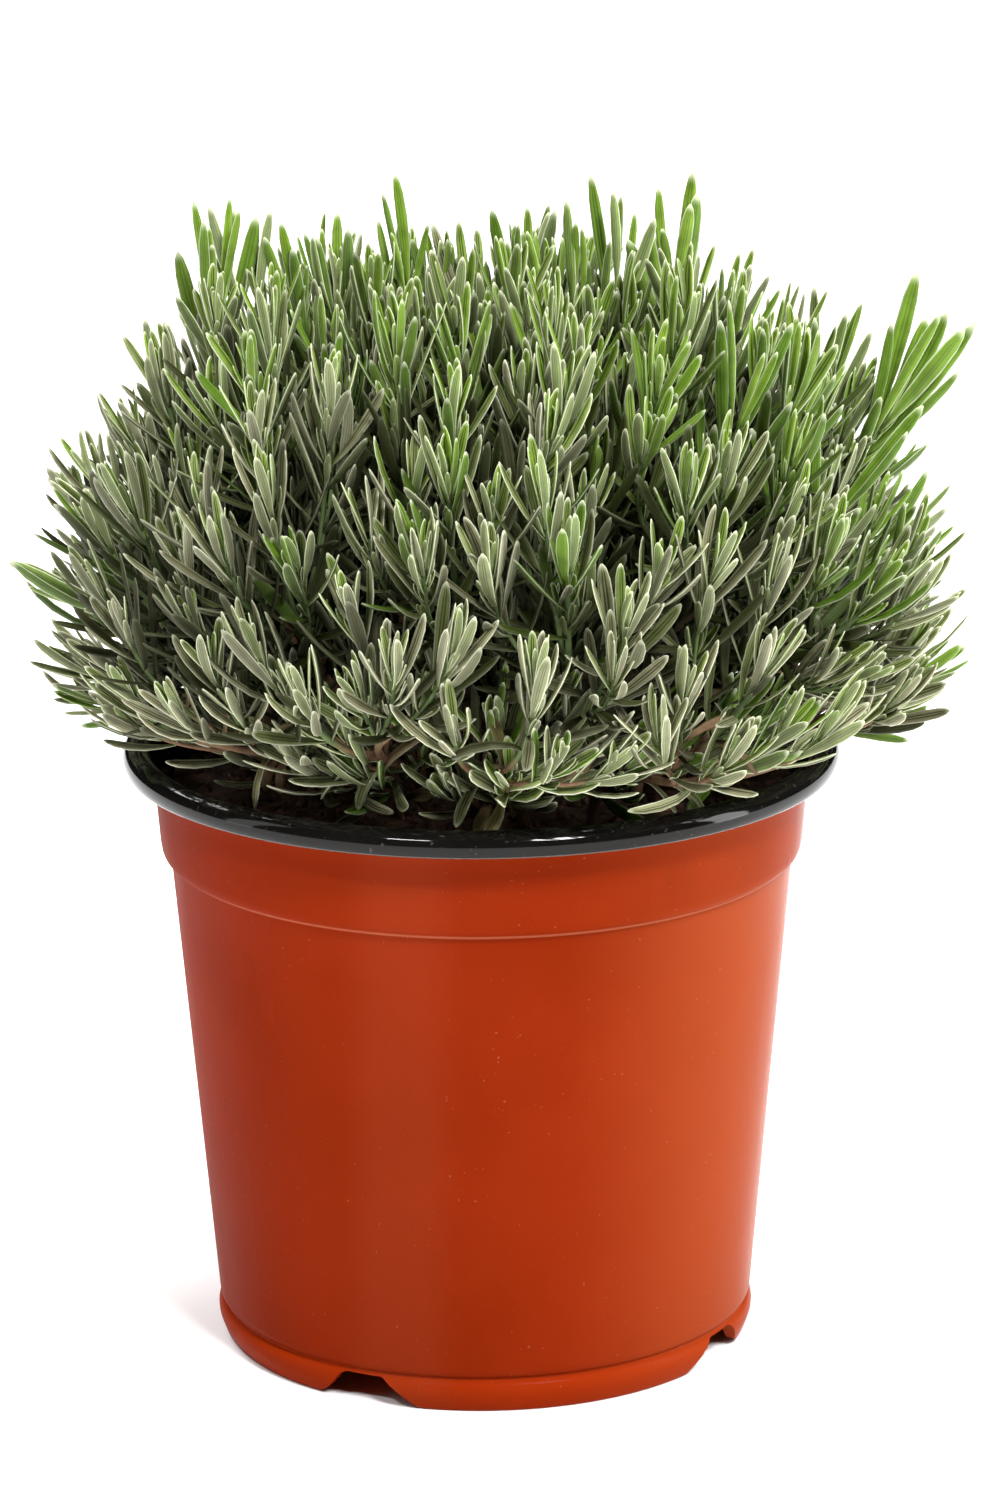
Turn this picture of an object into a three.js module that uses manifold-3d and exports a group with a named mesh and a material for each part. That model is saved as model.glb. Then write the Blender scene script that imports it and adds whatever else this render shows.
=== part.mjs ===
// Potted lavender: a bushy lavender, not yet in flower, in a two-colour nursery pot.
// Millimetres, +Z up. The origin is on the floor, on the pot's axis; the photographed front is -Y.
import * as THREE from 'three';
import { mergeVertices } from 'three/addons/utils/BufferGeometryUtils.js';
import Module from 'manifold-3d';

const wasm = await Module();
wasm.setup();

// ---- Driving dimensions ----------------------------------------------------------------------

const GAP = 0.3; // clearance kept between pieces that touch

const POT_SIDES = 32;
const SHEET = 0.9; // thickness of each of the pot's two colour layers
const FOOT_HEIGHT = 9.9;
const BASE_HEIGHT = 10.3; // underside of the pot's floor
const FOOT_RADIUS = 70;
const SKIRT_THICKNESS = 1.4;
const BASE_RADIUS = 71.8; // outside of the body just above the feet
const SHOULDER_RADIUS = 82.6; // outside of the body just under the collar
const SHOULDER_HEIGHT = 133.4;
const COLLAR_RADIUS = 85.2; // outside of the collar at its lower edge
const RIM_RADIUS = 95;
const RIM_HEIGHT = 164; // height of the whole pot
const RIM_DEPTH = 6.2; // from the crest of the rolled rim down to its lip
const NOTCHES_DEG = [-25, 59.5, 155, 239.5]; // gaps between the feet, from the front towards +X
const NOTCH_TOP = 11.4; // width of a notch at the body
const NOTCH_SLOPE = 10; // how far each side of a notch runs out on the way down
const NOTCH_EASE = 1.5; // the foot's lower corners are cut back by this much
const NOTCH_EASE_HEIGHT = 1.2;
const NOTCH_CUT = 30; // length of the cut through the skirt, half of it inside
const DRAINS = 6;
const DRAIN_RADIUS = 5;
const DRAIN_RING = 46;
const DRAIN_SIDES = 8;
const DRILL_LENGTH = 12;

const SOIL_HEIGHT = 149;
const SOIL_BUMP = 1.6;
const SOIL_SIDES = 24;
const SOIL_PLAY = 0.9; // between the lining and the corners of the soil's many-sided outline
const SOIL_RINGS = [0.87, 0.78, 0.6, 0.4, 0.2]; // rings of the top's bumps, shares of its radius
const HOLE_DEPTH = 26;
const HOLE_SIDES = 6;
const HOLE_PLAY = 0.7; // between a stem and the corners of its hole
const HOLE_HEADROOM = 20; // how far a hole's cut runs on above the soil

const STEMS = 30;
const STEM_FOOT_RING = 56; // the outermost stems leave the soil at this radius
const STEM_BASE = 1.7; // stem radius in the soil
const STEM_TOP = 1.0;
const STEM_RISE = 0.3; // share of a stem's reach on which it keeps its first direction
const STEM_UPRIGHT = 8; // and a length that is added where it leaves the soil
const STEM_LEAD = 0.38; // share of a stem's reach that leads into its tip's direction
const FORK = 0.42; // share of the stem's length where it divides in two
const SHOOT_SPREAD = 14; // from the middle of the fork's two tips to each of them
const CROWN_RADIUS = 30; // nearer the axis than this the spread isn't turned into a wider angle
const FOOT_POINT = 1; // length of the blunt point at a stem's foot
const TIP_POINT = 3; // and of the one at a shoot's tip
const TRUNK_RINGS = 4; // rings of the bare part of a stem
const BRANCH_RINGS = 1;

const BUSH_RADIUS = 125; // the bush's outline is a rounded dome with a flat top
const BUSH_WIDEST = 212; // height at which it is widest
const BUSH_TOP = 304;
const BUSH_BOTTOM = 140; // the lower half's outline would close here; it stops above the rim
const BUSH_SQUARENESS = 2.4;
const LOWEST_TIP = THREE.MathUtils.degToRad(116); // from straight up, on the dome
const OUTLINE_STEPS = 200; // steps in which the outline's surface is summed up
const FIRST_SHARE = 0.3; // the first shoot's place in its share of the surface
const DROOP = 76; // the lowest shoots are turned down by this many degrees from upright
const DROOP_POWER = 1.6;
const TIP_INSET = 17; // the last leaves reach this far past their shoot

// Distance back from the shoot's tip, leaf length, angle from the shoot in degrees, and the
// radius of the shoot's slim core where the pair grows.
const LEAF_PAIRS = [
  { back: 37, length: 33, spread: 60, core: 2.6 },
  { back: 26, length: 35, spread: 48, core: 2.4 },
  { back: 15, length: 32, spread: 34, core: 2.1 },
  { back: 5, length: 25, spread: 17, core: 1.6 },
];
const PAIR_HEIGHT = 3.2; // height of a leaf's root on the stem
const LEAF_HALF_WIDTH = 2.0;
const LEAF_THICKNESS = 0.9;
const LEAF_END = 0.5; // width of a leaf's blunt end, as a share of its widest
const LEAF_BEND = 0.55; // where a leaf is widest and bends, as a share of its length
const LEAFY_SHARE = 0.86; // a short shoot's leaves are moved together onto this share of it
const LEAF_CURL = 8; // a leaf starts this much flatter than it ends, to each side of its spread
const FRAME_STEPS = 60; // steps along a stem in which its leaves' directions are worked out

const GOLDEN_ANGLE = Math.PI * (3 - Math.sqrt(5));
const FIRST_AZIMUTH = 0.4;

const TERRACOTTA = 0xa33012;
const BLACK = 0x1b1b1c;
const SOIL_BROWN = 0x2a1c13;
const LEAF_DULL = 0x66784e;
const LEAF_PALE = 0x8a9a72;

// ---- Small helpers ---------------------------------------------------------------------------

const { sin, cos, PI, abs, sign, sqrt, min, max, round } = Math;
const rad = THREE.MathUtils.degToRad;
const UP = new THREE.Vector3(0, 0, 1);

// A fixed number between 0 and 1 for every pair of whole numbers.
function chance(n, k) {
  const s = sin(n * 12.9898 + k * 78.233) * 43758.5453;
  return s - Math.floor(s);
}

function solidOf(geometry) {
  const bare = geometry.clone();
  bare.deleteAttribute('normal');
  bare.deleteAttribute('uv');
  const merged = mergeVertices(bare, 1e-4);
  return new wasm.Manifold(new wasm.Mesh({
    numProp: 3,
    vertProperties: new Float32Array(merged.attributes.position.array),
    triVerts: new Uint32Array(merged.index.array),
  }));
}

function geometryOf(solid) {
  const mesh = solid.getMesh();
  const geometry = new THREE.BufferGeometry();
  geometry.setAttribute('position', new THREE.BufferAttribute(mesh.vertProperties, 3));
  geometry.setIndex(new THREE.BufferAttribute(mesh.triVerts, 1));
  geometry.computeVertexNormals();
  return geometry;
}

// A solid of revolution about Z from [radius, height] points that run counter-clockwise.
function turned(profile, sides) {
  const points = profile.map(([radius, height]) => new THREE.Vector2(radius, height));
  return new THREE.LatheGeometry(points, sides).rotateX(PI / 2);
}

// The line moved sideways to its left by a distance, corner by corner.
function offsetLine(line, distance) {
  return line.map((point, i) => {
    const before = line[max(i - 1, 0)];
    const after = line[min(i + 1, line.length - 1)];
    const a = new THREE.Vector2(point[0] - before[0], point[1] - before[1]).normalize();
    const b = new THREE.Vector2(after[0] - point[0], after[1] - point[1]).normalize();
    const along = a.clone().add(b).normalize();
    const half = a.lengthSq() && b.lengthSq() ? max(along.dot(b), 0.5) : 1;
    return [point[0] - (along.y * distance) / half, point[1] + (along.x * distance) / half];
  });
}

function named(name, solid, color, roughness) {
  const material = new THREE.MeshStandardMaterial({ color, roughness, metalness: 0 });
  const mesh = new THREE.Mesh(geometryOf(solid), material);
  mesh.name = name;
  return mesh;
}

// ---- The pot: a terracotta-coloured outer layer and a black lining that rolls over as the rim ----

// Outer face of the pot's wall, from the base's edge up to the flare under the rim.
const wallFace = [
  [BASE_RADIUS - 1.2, BASE_HEIGHT],
  [BASE_RADIUS, BASE_HEIGHT + 1.4],
  [SHOULDER_RADIUS, SHOULDER_HEIGHT],
  [COLLAR_RADIUS - 0.7, SHOULDER_HEIGHT + 1],
  [COLLAR_RADIUS, SHOULDER_HEIGHT + 3],
  [COLLAR_RADIUS + 1.3, SHOULDER_HEIGHT + 18.6],
  [COLLAR_RADIUS + 2.3, SHOULDER_HEIGHT + 22.4],
  [COLLAR_RADIUS + 4, SHOULDER_HEIGHT + 24.6],
];

function skirtFace() {
  return [
    [FOOT_RADIUS - SKIRT_THICKNESS, 0],
    [FOOT_RADIUS, 0],
    [FOOT_RADIUS + 1.4, 3],
    [BASE_RADIUS + 0.2, FOOT_HEIGHT - 3],
    [BASE_RADIUS - 0.2, FOOT_HEIGHT - 1],
  ];
}

// One gap between two feet: a wedge that is cut through the skirt, wider below.
function notchCutter(degrees) {
  const top = NOTCH_TOP / 2;
  const wide = top + NOTCH_SLOPE - NOTCH_EASE;
  const widest = top + NOTCH_SLOPE + NOTCH_EASE;
  const outline = new THREE.Shape();
  outline.moveTo(-top, FOOT_HEIGHT);
  outline.lineTo(-wide, NOTCH_EASE_HEIGHT);
  outline.lineTo(-widest, 0);
  outline.lineTo(-widest, -1);
  outline.lineTo(widest, -1);
  outline.lineTo(widest, 0);
  outline.lineTo(wide, NOTCH_EASE_HEIGHT);
  outline.lineTo(top, FOOT_HEIGHT);
  const cutter = new THREE.ExtrudeGeometry(outline, { depth: NOTCH_CUT, bevelEnabled: false });
  cutter.rotateX(PI / 2).translate(0, NOTCH_CUT / 2 - BASE_RADIUS, 0).rotateZ(rad(degrees));
  return solidOf(cutter);
}

function drainCutters() {
  const cutters = [];
  for (let i = 0; i < DRAINS; i += 1) {
    const angle = (2 * PI * (i + 0.5)) / DRAINS;
    const drill = new THREE.CylinderGeometry(DRAIN_RADIUS, DRAIN_RADIUS, DRILL_LENGTH, DRAIN_SIDES);
    drill.rotateX(PI / 2);
    drill.translate(DRAIN_RING * cos(angle), DRAIN_RING * sin(angle), BASE_HEIGHT + 2 * SHEET);
    cutters.push(solidOf(drill));
  }
  return wasm.Manifold.union(cutters);
}

function potWall() {
  const inner = offsetLine(wallFace, SHEET);
  const profile = [
    [0, BASE_HEIGHT],
    [FOOT_RADIUS - SKIRT_THICKNESS, BASE_HEIGHT],
    ...skirtFace(),
    ...wallFace,
    ...inner.slice(1).reverse(),
    [inner[1][0] - 0.6, BASE_HEIGHT + SHEET],
    [0, BASE_HEIGHT + SHEET],
  ];
  const notches = wasm.Manifold.union(NOTCHES_DEG.map(notchCutter));
  return solidOf(turned(profile, POT_SIDES)).subtract(notches).subtract(drainCutters());
}

// The rolled rim, from the lining's outer face over the crest and back to its inner face.
function rimRoll() {
  const lip = RIM_HEIGHT - RIM_DEPTH;
  return [
    [RIM_RADIUS - 3.4, RIM_HEIGHT - 2.6],
    [RIM_RADIUS - 1.7, RIM_HEIGHT - 3.6],
    [RIM_RADIUS - 1.4, lip],
    [RIM_RADIUS - 0.4, lip],
    [RIM_RADIUS, RIM_HEIGHT - 4],
    [RIM_RADIUS - 0.8, RIM_HEIGHT - 1.6],
    [RIM_RADIUS - 2.6, RIM_HEIGHT - 0.3],
    [RIM_RADIUS - 4.6, RIM_HEIGHT],
    [RIM_RADIUS - 7, RIM_HEIGHT - 1.2],
  ];
}

function potLining() {
  const outer = offsetLine(wallFace, SHEET + GAP).slice(1);
  const inner = offsetLine(wallFace, 2 * SHEET + GAP).slice(1);
  const floor = BASE_HEIGHT + SHEET + GAP;
  const profile = [
    [0, floor],
    [outer[0][0] - 0.6, floor],
    ...outer,
    ...rimRoll(),
    ...inner.slice(0, -1).reverse(),
    [inner[0][0] - 0.4, floor + SHEET],
    [0, floor + SHEET],
  ];
  return solidOf(turned(profile, POT_SIDES)).subtract(drainCutters());
}

// ---- The bush: where its stems stand and where its shoots end ---------------------------------

// Point of the bush's rounded outline at an angle from straight up and an azimuth.
function outlinePoint(tilt, azimuth) {
  const power = 2 / BUSH_SQUARENESS;
  const radius = BUSH_RADIUS * abs(sin(tilt)) ** power;
  const half = cos(tilt) > 0 ? BUSH_TOP - BUSH_WIDEST : BUSH_WIDEST - BUSH_BOTTOM;
  const height = BUSH_WIDEST + half * sign(cos(tilt)) * abs(cos(tilt)) ** power;
  return new THREE.Vector3(radius * cos(azimuth), radius * sin(azimuth), height);
}

// The tilt below which a share of the outline's surface lies, so that shoots cover it evenly.
function tiltAt(share) {
  const areas = [0];
  for (let i = 1; i <= OUTLINE_STEPS; i += 1) {
    const above = outlinePoint(((i - 1) / OUTLINE_STEPS) * LOWEST_TIP, 0);
    const below = outlinePoint((i / OUTLINE_STEPS) * LOWEST_TIP, 0);
    areas.push(areas[i - 1] + (above.x + below.x) * above.distanceTo(below));
  }
  const wanted = share * areas[OUTLINE_STEPS];
  const step = areas.findIndex((area) => area >= wanted);
  const part = (wanted - areas[step - 1]) / (areas[step] - areas[step - 1]);
  return ((step - 1 + part) / OUTLINE_STEPS) * LOWEST_TIP;
}

// Shoots stand upright on the crown, lean out down the sides and lie almost level at the bottom.
function shootDirection(tilt, azimuth) {
  const rise = rad(90 - DROOP * (tilt / LOWEST_TIP) ** DROOP_POWER);
  return new THREE.Vector3(cos(rise) * cos(azimuth), cos(rise) * sin(azimuth), sin(rise));
}

function stemPlan(index) {
  const share = (index + FIRST_SHARE) / STEMS;
  const azimuth = FIRST_AZIMUTH + index * GOLDEN_ANGLE;
  const tilt = tiltAt(share);
  const ring = STEM_FOOT_RING * sqrt(share);
  const foot = new THREE.Vector3(ring * cos(azimuth), ring * sin(azimuth), SOIL_HEIGHT);
  const turn = PI * chance(index, 1);
  const tips = [1, -1].map((side) => {
    const aside = (side * SHOOT_SPREAD * cos(turn)) / max(outlinePoint(tilt, 0).x, CROWN_RADIUS);
    const down = (side * SHOOT_SPREAD * sin(turn)) / BUSH_RADIUS;
    const lean = min(max(tilt + down, 0.01), LOWEST_TIP + 0.02);
    const along = shootDirection(lean, azimuth + aside);
    const end = outlinePoint(lean, azimuth + aside).addScaledVector(along, -TIP_INSET);
    return { along, end };
  });
  return { index, foot, tips };
}

// The way of a stem from the soil to a shoot's tip: up out of the soil, then out over the rim.
function stemCurve(foot, tip) {
  const reach = tip.end.distanceTo(foot);
  const rise = foot.clone().addScaledVector(UP, STEM_RISE * reach + STEM_UPRIGHT);
  const lead = tip.end.clone().addScaledVector(tip.along, -STEM_LEAD * reach);
  return new THREE.CubicBezierCurve3(foot, rise, lead, tip.end);
}

// The way of a stem's second shoot, which leaves the first at the fork.
function branchCurve(trunk, tip) {
  const start = trunk.getPoint(FORK);
  const reach = tip.end.distanceTo(start);
  const rise = start.clone().addScaledVector(trunk.getTangent(FORK), STEM_RISE * reach);
  const lead = tip.end.clone().addScaledVector(tip.along, -STEM_LEAD * reach);
  return new THREE.CubicBezierCurve3(start, rise, lead, tip.end);
}

// ---- Leafy stems ------------------------------------------------------------------------------

// The two bends of a leaf's rib from its root: the middle of the blade and its tip.
function leafRib(root, axis, outward, length, spread) {
  const heading = (degrees) => axis.clone().multiplyScalar(cos(rad(degrees)))
    .addScaledVector(outward, sin(rad(degrees)));
  const middle = root.clone();
  middle.addScaledVector(heading(spread + LEAF_CURL), LEAF_BEND * length);
  const tip = middle.clone();
  tip.addScaledVector(heading(spread - LEAF_CURL), (1 - LEAF_BEND) * length);
  return { points: [root, middle, tip], heading: heading(spread), outward };
}

// Draws one side of a stem out into a leaf: a flat blade that ends in a short blunt edge.
function drawLeaf(points, faces, corners, rib, axis) {
  const across = axis.clone().cross(rib.outward).normalize();
  const above = rib.heading.clone().cross(across);
  const [, middle, tip] = rib.points;
  const first = points.length;
  for (const [side, level] of [[-1, -1], [1, -1], [1, 1], [-1, 1]]) {
    points.push(middle.clone().addScaledVector(across, side * LEAF_HALF_WIDTH)
      .addScaledVector(above, (level * LEAF_THICKNESS) / 2));
  }
  points.push(tip.clone().addScaledVector(across, -LEAF_END * LEAF_HALF_WIDTH));
  points.push(tip.clone().addScaledVector(across, LEAF_END * LEAF_HALF_WIDTH));
  const [p0, p1, p2, p3, left, right] = [0, 1, 2, 3, 4, 5].map((i) => first + i);
  const blade = [p0, p1, p2, p3];
  for (let e = 0; e < 4; e += 1) {
    const next = (e + 1) % 4;
    faces.push(corners[e], corners[next], blade[next], corners[e], blade[next], blade[e]);
  }
  faces.push(p0, p1, right, p0, right, left, p1, p2, right);
  faces.push(p2, p3, left, p2, left, right, p3, p0, left);
}

// The places of a stem's rings: bare ones up to the leaves, then two for each pair of leaves.
function ringPlaces(curve, bareRings, footRadius) {
  const length = curve.getLength();
  const squeeze = min(1, (LEAFY_SHARE * length) / (LEAF_PAIRS[0].back + PAIR_HEIGHT));
  const leafy = LEAF_PAIRS.flatMap((pair, level) => {
    const t = 1 - (pair.back * squeeze) / length;
    return [
      { t: t - (PAIR_HEIGHT * squeeze) / length, radius: pair.core, level },
      { t, radius: pair.core },
    ];
  });
  const bare = Array.from({ length: bareRings }, (_, i) => {
    const share = i / bareRings;
    return { t: share * leafy[0].t, radius: footRadius + (STEM_TOP - footRadius) * share };
  });
  return [...bare, ...leafy];
}

// A tapering square stem along a curve, with opposite leaves drawn out of its sides.
function leafyTube(curve, places, shoot, depth) {
  const frames = curve.computeFrenetFrames(FRAME_STEPS, false);
  const phase = 2 * PI * chance(shoot, 11);
  const points = [];
  const faces = [];
  const ringAt = (centre, radius, frame) => {
    for (let k = 0; k < 4; k += 1) {
      const angle = phase + (PI / 2) * k;
      points.push(centre.clone()
        .addScaledVector(frames.normals[frame], radius * cos(angle))
        .addScaledVector(frames.binormals[frame], radius * sin(angle)));
    }
  };
  const frameAt = (t) => round(t * FRAME_STEPS);
  const seat = curve.getPointAt(0).addScaledVector(curve.getTangentAt(0), -depth);
  if (depth) ringAt(seat, places[0].radius, 0);
  for (const { t, radius } of places) ringAt(curve.getPointAt(t), radius, frameAt(t));
  const rings = points.length / 4;
  const firstPlace = depth ? 1 : 0;
  for (let ring = 0; ring + 1 < rings; ring += 1) {
    const place = places[ring - firstPlace] ?? {};
    for (let k = 0; k < 4; k += 1) {
      const next = (k + 1) % 4;
      const corners = [4 * ring + k, 4 * ring + next, 4 * ring + 4 + next, 4 * ring + 4 + k];
      const hasLeaf = place.level !== undefined && k % 2 === place.level % 2;
      const rib = hasLeaf ? clearRib(curve, place, corners.map((c) => points[c]), shoot, k) : null;
      if (rib) {
        drawLeaf(points, faces, corners, rib, curve.getTangentAt(place.t));
      } else {
        faces.push(corners[0], corners[1], corners[2], corners[0], corners[2], corners[3]);
      }
    }
  }
  const top = 4 * (rings - 1);
  const start = points.push(seat.addScaledVector(curve.getTangentAt(0), -FOOT_POINT)) - 1;
  const tip = curve.getPointAt(1).addScaledVector(curve.getTangentAt(1), TIP_POINT);
  const end = points.push(tip) - 1;
  for (let k = 0; k < 4; k += 1) {
    const next = (k + 1) % 4;
    faces.push(start, next, k, top + k, top + next, end);
  }
  const geometry = new THREE.BufferGeometry().setFromPoints(points);
  geometry.setIndex(faces);
  return geometry;
}

// ---- Keeping leaves clear of each other, of the stems and of the rim ---------------------------

const segments = []; // every stem and leaf already placed, as thick line segments
const POT_CLEARANCE = 4; // kept by a leaf's rib all round the rim
const SOIL_CLEARANCE = 5;
const RIM_INNER = RIM_RADIUS - 16;
const LEAF_CHECKS = [0.35, 0.7, 1]; // places along a leaf's parts that are checked against the pot
const TRUNK_SEGMENTS = 12;
const BRANCH_SEGMENTS = 8;

// The shortest distance between two line segments, a to b and c to d.
function spaceBetween(a, b, c, d) {
  const u = b.clone().sub(a);
  const v = d.clone().sub(c);
  const w = a.clone().sub(c);
  const uu = u.dot(u);
  const uv = u.dot(v);
  const vv = v.dot(v);
  const uw = u.dot(w);
  const vw = v.dot(w);
  const cross = uu * vv - uv * uv;
  let s = cross > 1e-9 ? min(max((uv * vw - vv * uw) / cross, 0), 1) : 0;
  const t = min(max((uv * s + vw) / vv, 0), 1);
  s = min(max((uv * t - uw) / uu, 0), 1);
  return w.addScaledVector(u, s).addScaledVector(v, -t).length();
}

// Inside the rim a leaf stays above the soil, over the rim above it, and outside near its height.
function clearOfPot(point) {
  const radius = Math.hypot(point.x, point.y);
  if (radius < RIM_INNER) return point.z > SOIL_HEIGHT + SOIL_CLEARANCE;
  if (radius < RIM_RADIUS + POT_CLEARANCE) return point.z > RIM_HEIGHT + POT_CLEARANCE;
  return point.z > RIM_HEIGHT - 2 * POT_CLEARANCE;
}

// Whether a leaf along these points keeps off the pot and everything placed, its own shoot's
// neighbouring parts left out.
function clearOfOthers(points, shoot) {
  for (let i = 0; i + 1 < points.length; i += 1) {
    const [from, to] = [points[i], points[i + 1]];
    const samples = LEAF_CHECKS.map((share) => from.clone().lerp(to, share));
    if (!samples.every(clearOfPot)) return false;
    for (const other of segments) {
      if (other.shoot === shoot && (i === 0 || !other.leaf)) continue;
      const space = LEAF_HALF_WIDTH + other.radius + GAP;
      if (spaceBetween(from, to, other.a, other.b) < space) return false;
    }
  }
  return true;
}

function occupy(points, radius, shoot, leaf) {
  for (let i = 0; i + 1 < points.length; i += 1) {
    segments.push({ a: points[i], b: points[i + 1], radius, shoot, leaf });
  }
}

// Angles tried for a leaf that would cross another: closer to its shoot, then turned round it.
const OTHER_WAYS = [[0, 0], [-9, 0], [6, 0], [0, 14], [0, -14], [-16, 0], [-9, 20], [-9, -20],
  [-22, 0], [-16, 28], [-16, -28], [4, 34], [4, -34], [-28, 0], [-24, 40], [-24, -40]];

// The rib of the leaf that grows from one side of a stem, turned clear of everything placed before.
function clearRib(curve, place, corners, shoot, side) {
  const root = corners.reduce((sum, corner) => sum.add(corner), new THREE.Vector3())
    .multiplyScalar(0.25);
  const axis = curve.getTangentAt(place.t);
  const outward = root.clone().sub(curve.getPointAt(place.t));
  outward.addScaledVector(axis, -outward.dot(axis)).normalize();
  const pair = LEAF_PAIRS[place.level];
  const key = 10 * place.level + side + round(1000 * place.t);
  const length = pair.length * (0.9 + 0.2 * chance(shoot, key));
  const spread = pair.spread + 10 * (chance(shoot, key + 5) - 0.5);
  for (const [closer, around] of OTHER_WAYS) {
    const turned = outward.clone().applyAxisAngle(axis, rad(around));
    const rib = leafRib(root, axis, turned, length, max(spread + closer, 10));
    if (clearOfOthers(rib.points, shoot)) {
      occupy(rib.points, LEAF_HALF_WIDTH, shoot, true);
      return rib;
    }
  }
  return null;
}

// All stems, each as one solid: two leafy shoots from one foot.
function leafyStems() {
  const plans = Array.from({ length: STEMS }, (_, index) => stemPlan(index));
  for (const plan of plans) {
    plan.trunk = stemCurve(plan.foot, plan.tips[0]);
    plan.branch = branchCurve(plan.trunk, plan.tips[1]);
    occupy(plan.trunk.getSpacedPoints(TRUNK_SEGMENTS), LEAF_PAIRS[0].core, 2 * plan.index, false);
    occupy(plan.branch.getSpacedPoints(BRANCH_SEGMENTS), LEAF_PAIRS[0].core, 2 * plan.index + 1, false);
  }
  return plans.map(({ index, trunk, branch }) => {
    const depth = HOLE_DEPTH - FOOT_POINT - GAP;
    const trunkPlaces = ringPlaces(trunk, TRUNK_RINGS, STEM_BASE);
    const branchPlaces = ringPlaces(branch, BRANCH_RINGS, STEM_TOP);
    const solid = wasm.Manifold.union([
      solidOf(leafyTube(trunk, trunkPlaces, 2 * index, depth)),
      solidOf(leafyTube(branch, branchPlaces, 2 * index + 1, 0)),
    ]);
    const number = String(index + 1).padStart(2, '0');
    const tint = new THREE.Color(LEAF_DULL).lerp(new THREE.Color(LEAF_PALE), chance(index, 2));
    return named(`leafy_stem_${number}`, solid, tint, 0.75);
  });
}

// ---- Potting soil -------------------------------------------------------------------------------

// Height of the soil's gently bumpy top.
function soilHeight(x, y) {
  const waves = sin(x / 9.1 + 1.3) * cos(y / 7.7) + 0.5 * sin((x + 1.7 * y) / 4.9);
  return SOIL_HEIGHT + SOIL_BUMP * waves;
}

// The root ball fills the lining up to a little under the rim.
function soilBody() {
  const inner = offsetLine(wallFace, 2 * SHEET + GAP + SOIL_PLAY).slice(1);
  const floor = BASE_HEIGHT + 2 * SHEET + 2 * GAP;
  const radiusAtTop = inner[4][0] - 1;
  const profile = [
    [0, floor],
    [inner[0][0] - 1.4, floor],
    [inner[0][0], floor + 2],
    ...inner.slice(1, 4),
    [radiusAtTop, SOIL_HEIGHT - 2],
    ...SOIL_RINGS.map((share) => [share * radiusAtTop, SOIL_HEIGHT]),
    [0, SOIL_HEIGHT],
  ];
  const geometry = turned(profile, SOIL_SIDES);
  const position = geometry.attributes.position;
  for (let i = 0; i < position.count; i += 1) {
    if (position.getZ(i) > SOIL_HEIGHT - 1) {
      position.setZ(i, soilHeight(position.getX(i), position.getY(i)));
    }
  }
  return solidOf(geometry);
}

// The plain hole in which a stem stands.
function stemHole(foot) {
  const width = STEM_BASE + HOLE_PLAY;
  const length = HOLE_DEPTH + HOLE_HEADROOM;
  const drill = new THREE.CylinderGeometry(width, width, length, HOLE_SIDES).rotateX(PI / 2);
  return solidOf(drill.translate(foot.x, foot.y, SOIL_HEIGHT - HOLE_DEPTH + length / 2));
}

function pottingSoil() {
  const holes = Array.from({ length: STEMS }, (_, index) => stemHole(stemPlan(index).foot));
  return soilBody().subtract(wasm.Manifold.union(holes));
}

// ---- The whole part -----------------------------------------------------------------------------

const lavender = new THREE.Group();
lavender.name = 'potted_lavender';
lavender.add(named('pot_wall', potWall(), TERRACOTTA, 0.35));
lavender.add(named('pot_lining', potLining(), BLACK, 0.3));
lavender.add(named('potting_soil', pottingSoil(), SOIL_BROWN, 0.95));
for (const stem of leafyStems()) lavender.add(stem);

export default lavender;
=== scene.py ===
"""Potted lavender: a bushy lavender, not yet in flower, in a black-lined terracotta-coloured pot.

Laid out as an add-on: settings, one operator for each piece or group of like pieces, a panel,
and a main function that makes everything around the fixed frame. Lengths are in metres.
"""
import math
import random

import bpy
import numpy as np
from mathutils import Matrix, Vector


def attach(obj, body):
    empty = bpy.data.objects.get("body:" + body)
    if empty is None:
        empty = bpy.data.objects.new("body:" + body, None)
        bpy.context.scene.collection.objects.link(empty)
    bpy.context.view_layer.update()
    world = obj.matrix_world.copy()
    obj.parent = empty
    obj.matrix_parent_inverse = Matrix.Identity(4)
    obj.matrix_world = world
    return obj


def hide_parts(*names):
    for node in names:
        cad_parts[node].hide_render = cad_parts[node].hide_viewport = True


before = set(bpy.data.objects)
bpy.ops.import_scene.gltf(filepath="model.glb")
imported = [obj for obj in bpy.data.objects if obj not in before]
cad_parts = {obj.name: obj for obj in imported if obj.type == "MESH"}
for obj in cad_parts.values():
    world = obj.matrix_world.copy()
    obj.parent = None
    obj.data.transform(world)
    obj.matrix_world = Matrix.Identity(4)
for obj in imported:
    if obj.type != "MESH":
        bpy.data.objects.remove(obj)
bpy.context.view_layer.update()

bl_info = {
    "name": "Potted lavender",
    "version": (1, 0, 0),
    "blender": (4, 5, 0),
    "location": "3D View > Sidebar > Lavender",
    "description": "Makes a bushy potted lavender and a pale studio around it",
    "category": "Add Mesh",
}

MM = 0.001
UP = np.array([0.0, 0.0, 1.0])

# ---- Sizes shared by the pieces, in millimetres, as in the fixed frame ----

SHEET = 0.9  # thickness of each colour layer of the pot
GAP = 0.3
BASE_HEIGHT = 10.3
RIM_RADIUS = 95.0
RIM_HEIGHT = 164.0
SOIL_HEIGHT = 149.0
SOIL_RINGS = 56
BARK_CHANCE = 0.12  # of a crumb that is a bit of bark
GRAIN_CHANCE = 0.02  # of a small crumb that is a pale grain
NOTCHES = (-25.0, 59.5, 155.0, 239.5)  # degrees from the front towards +X
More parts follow.
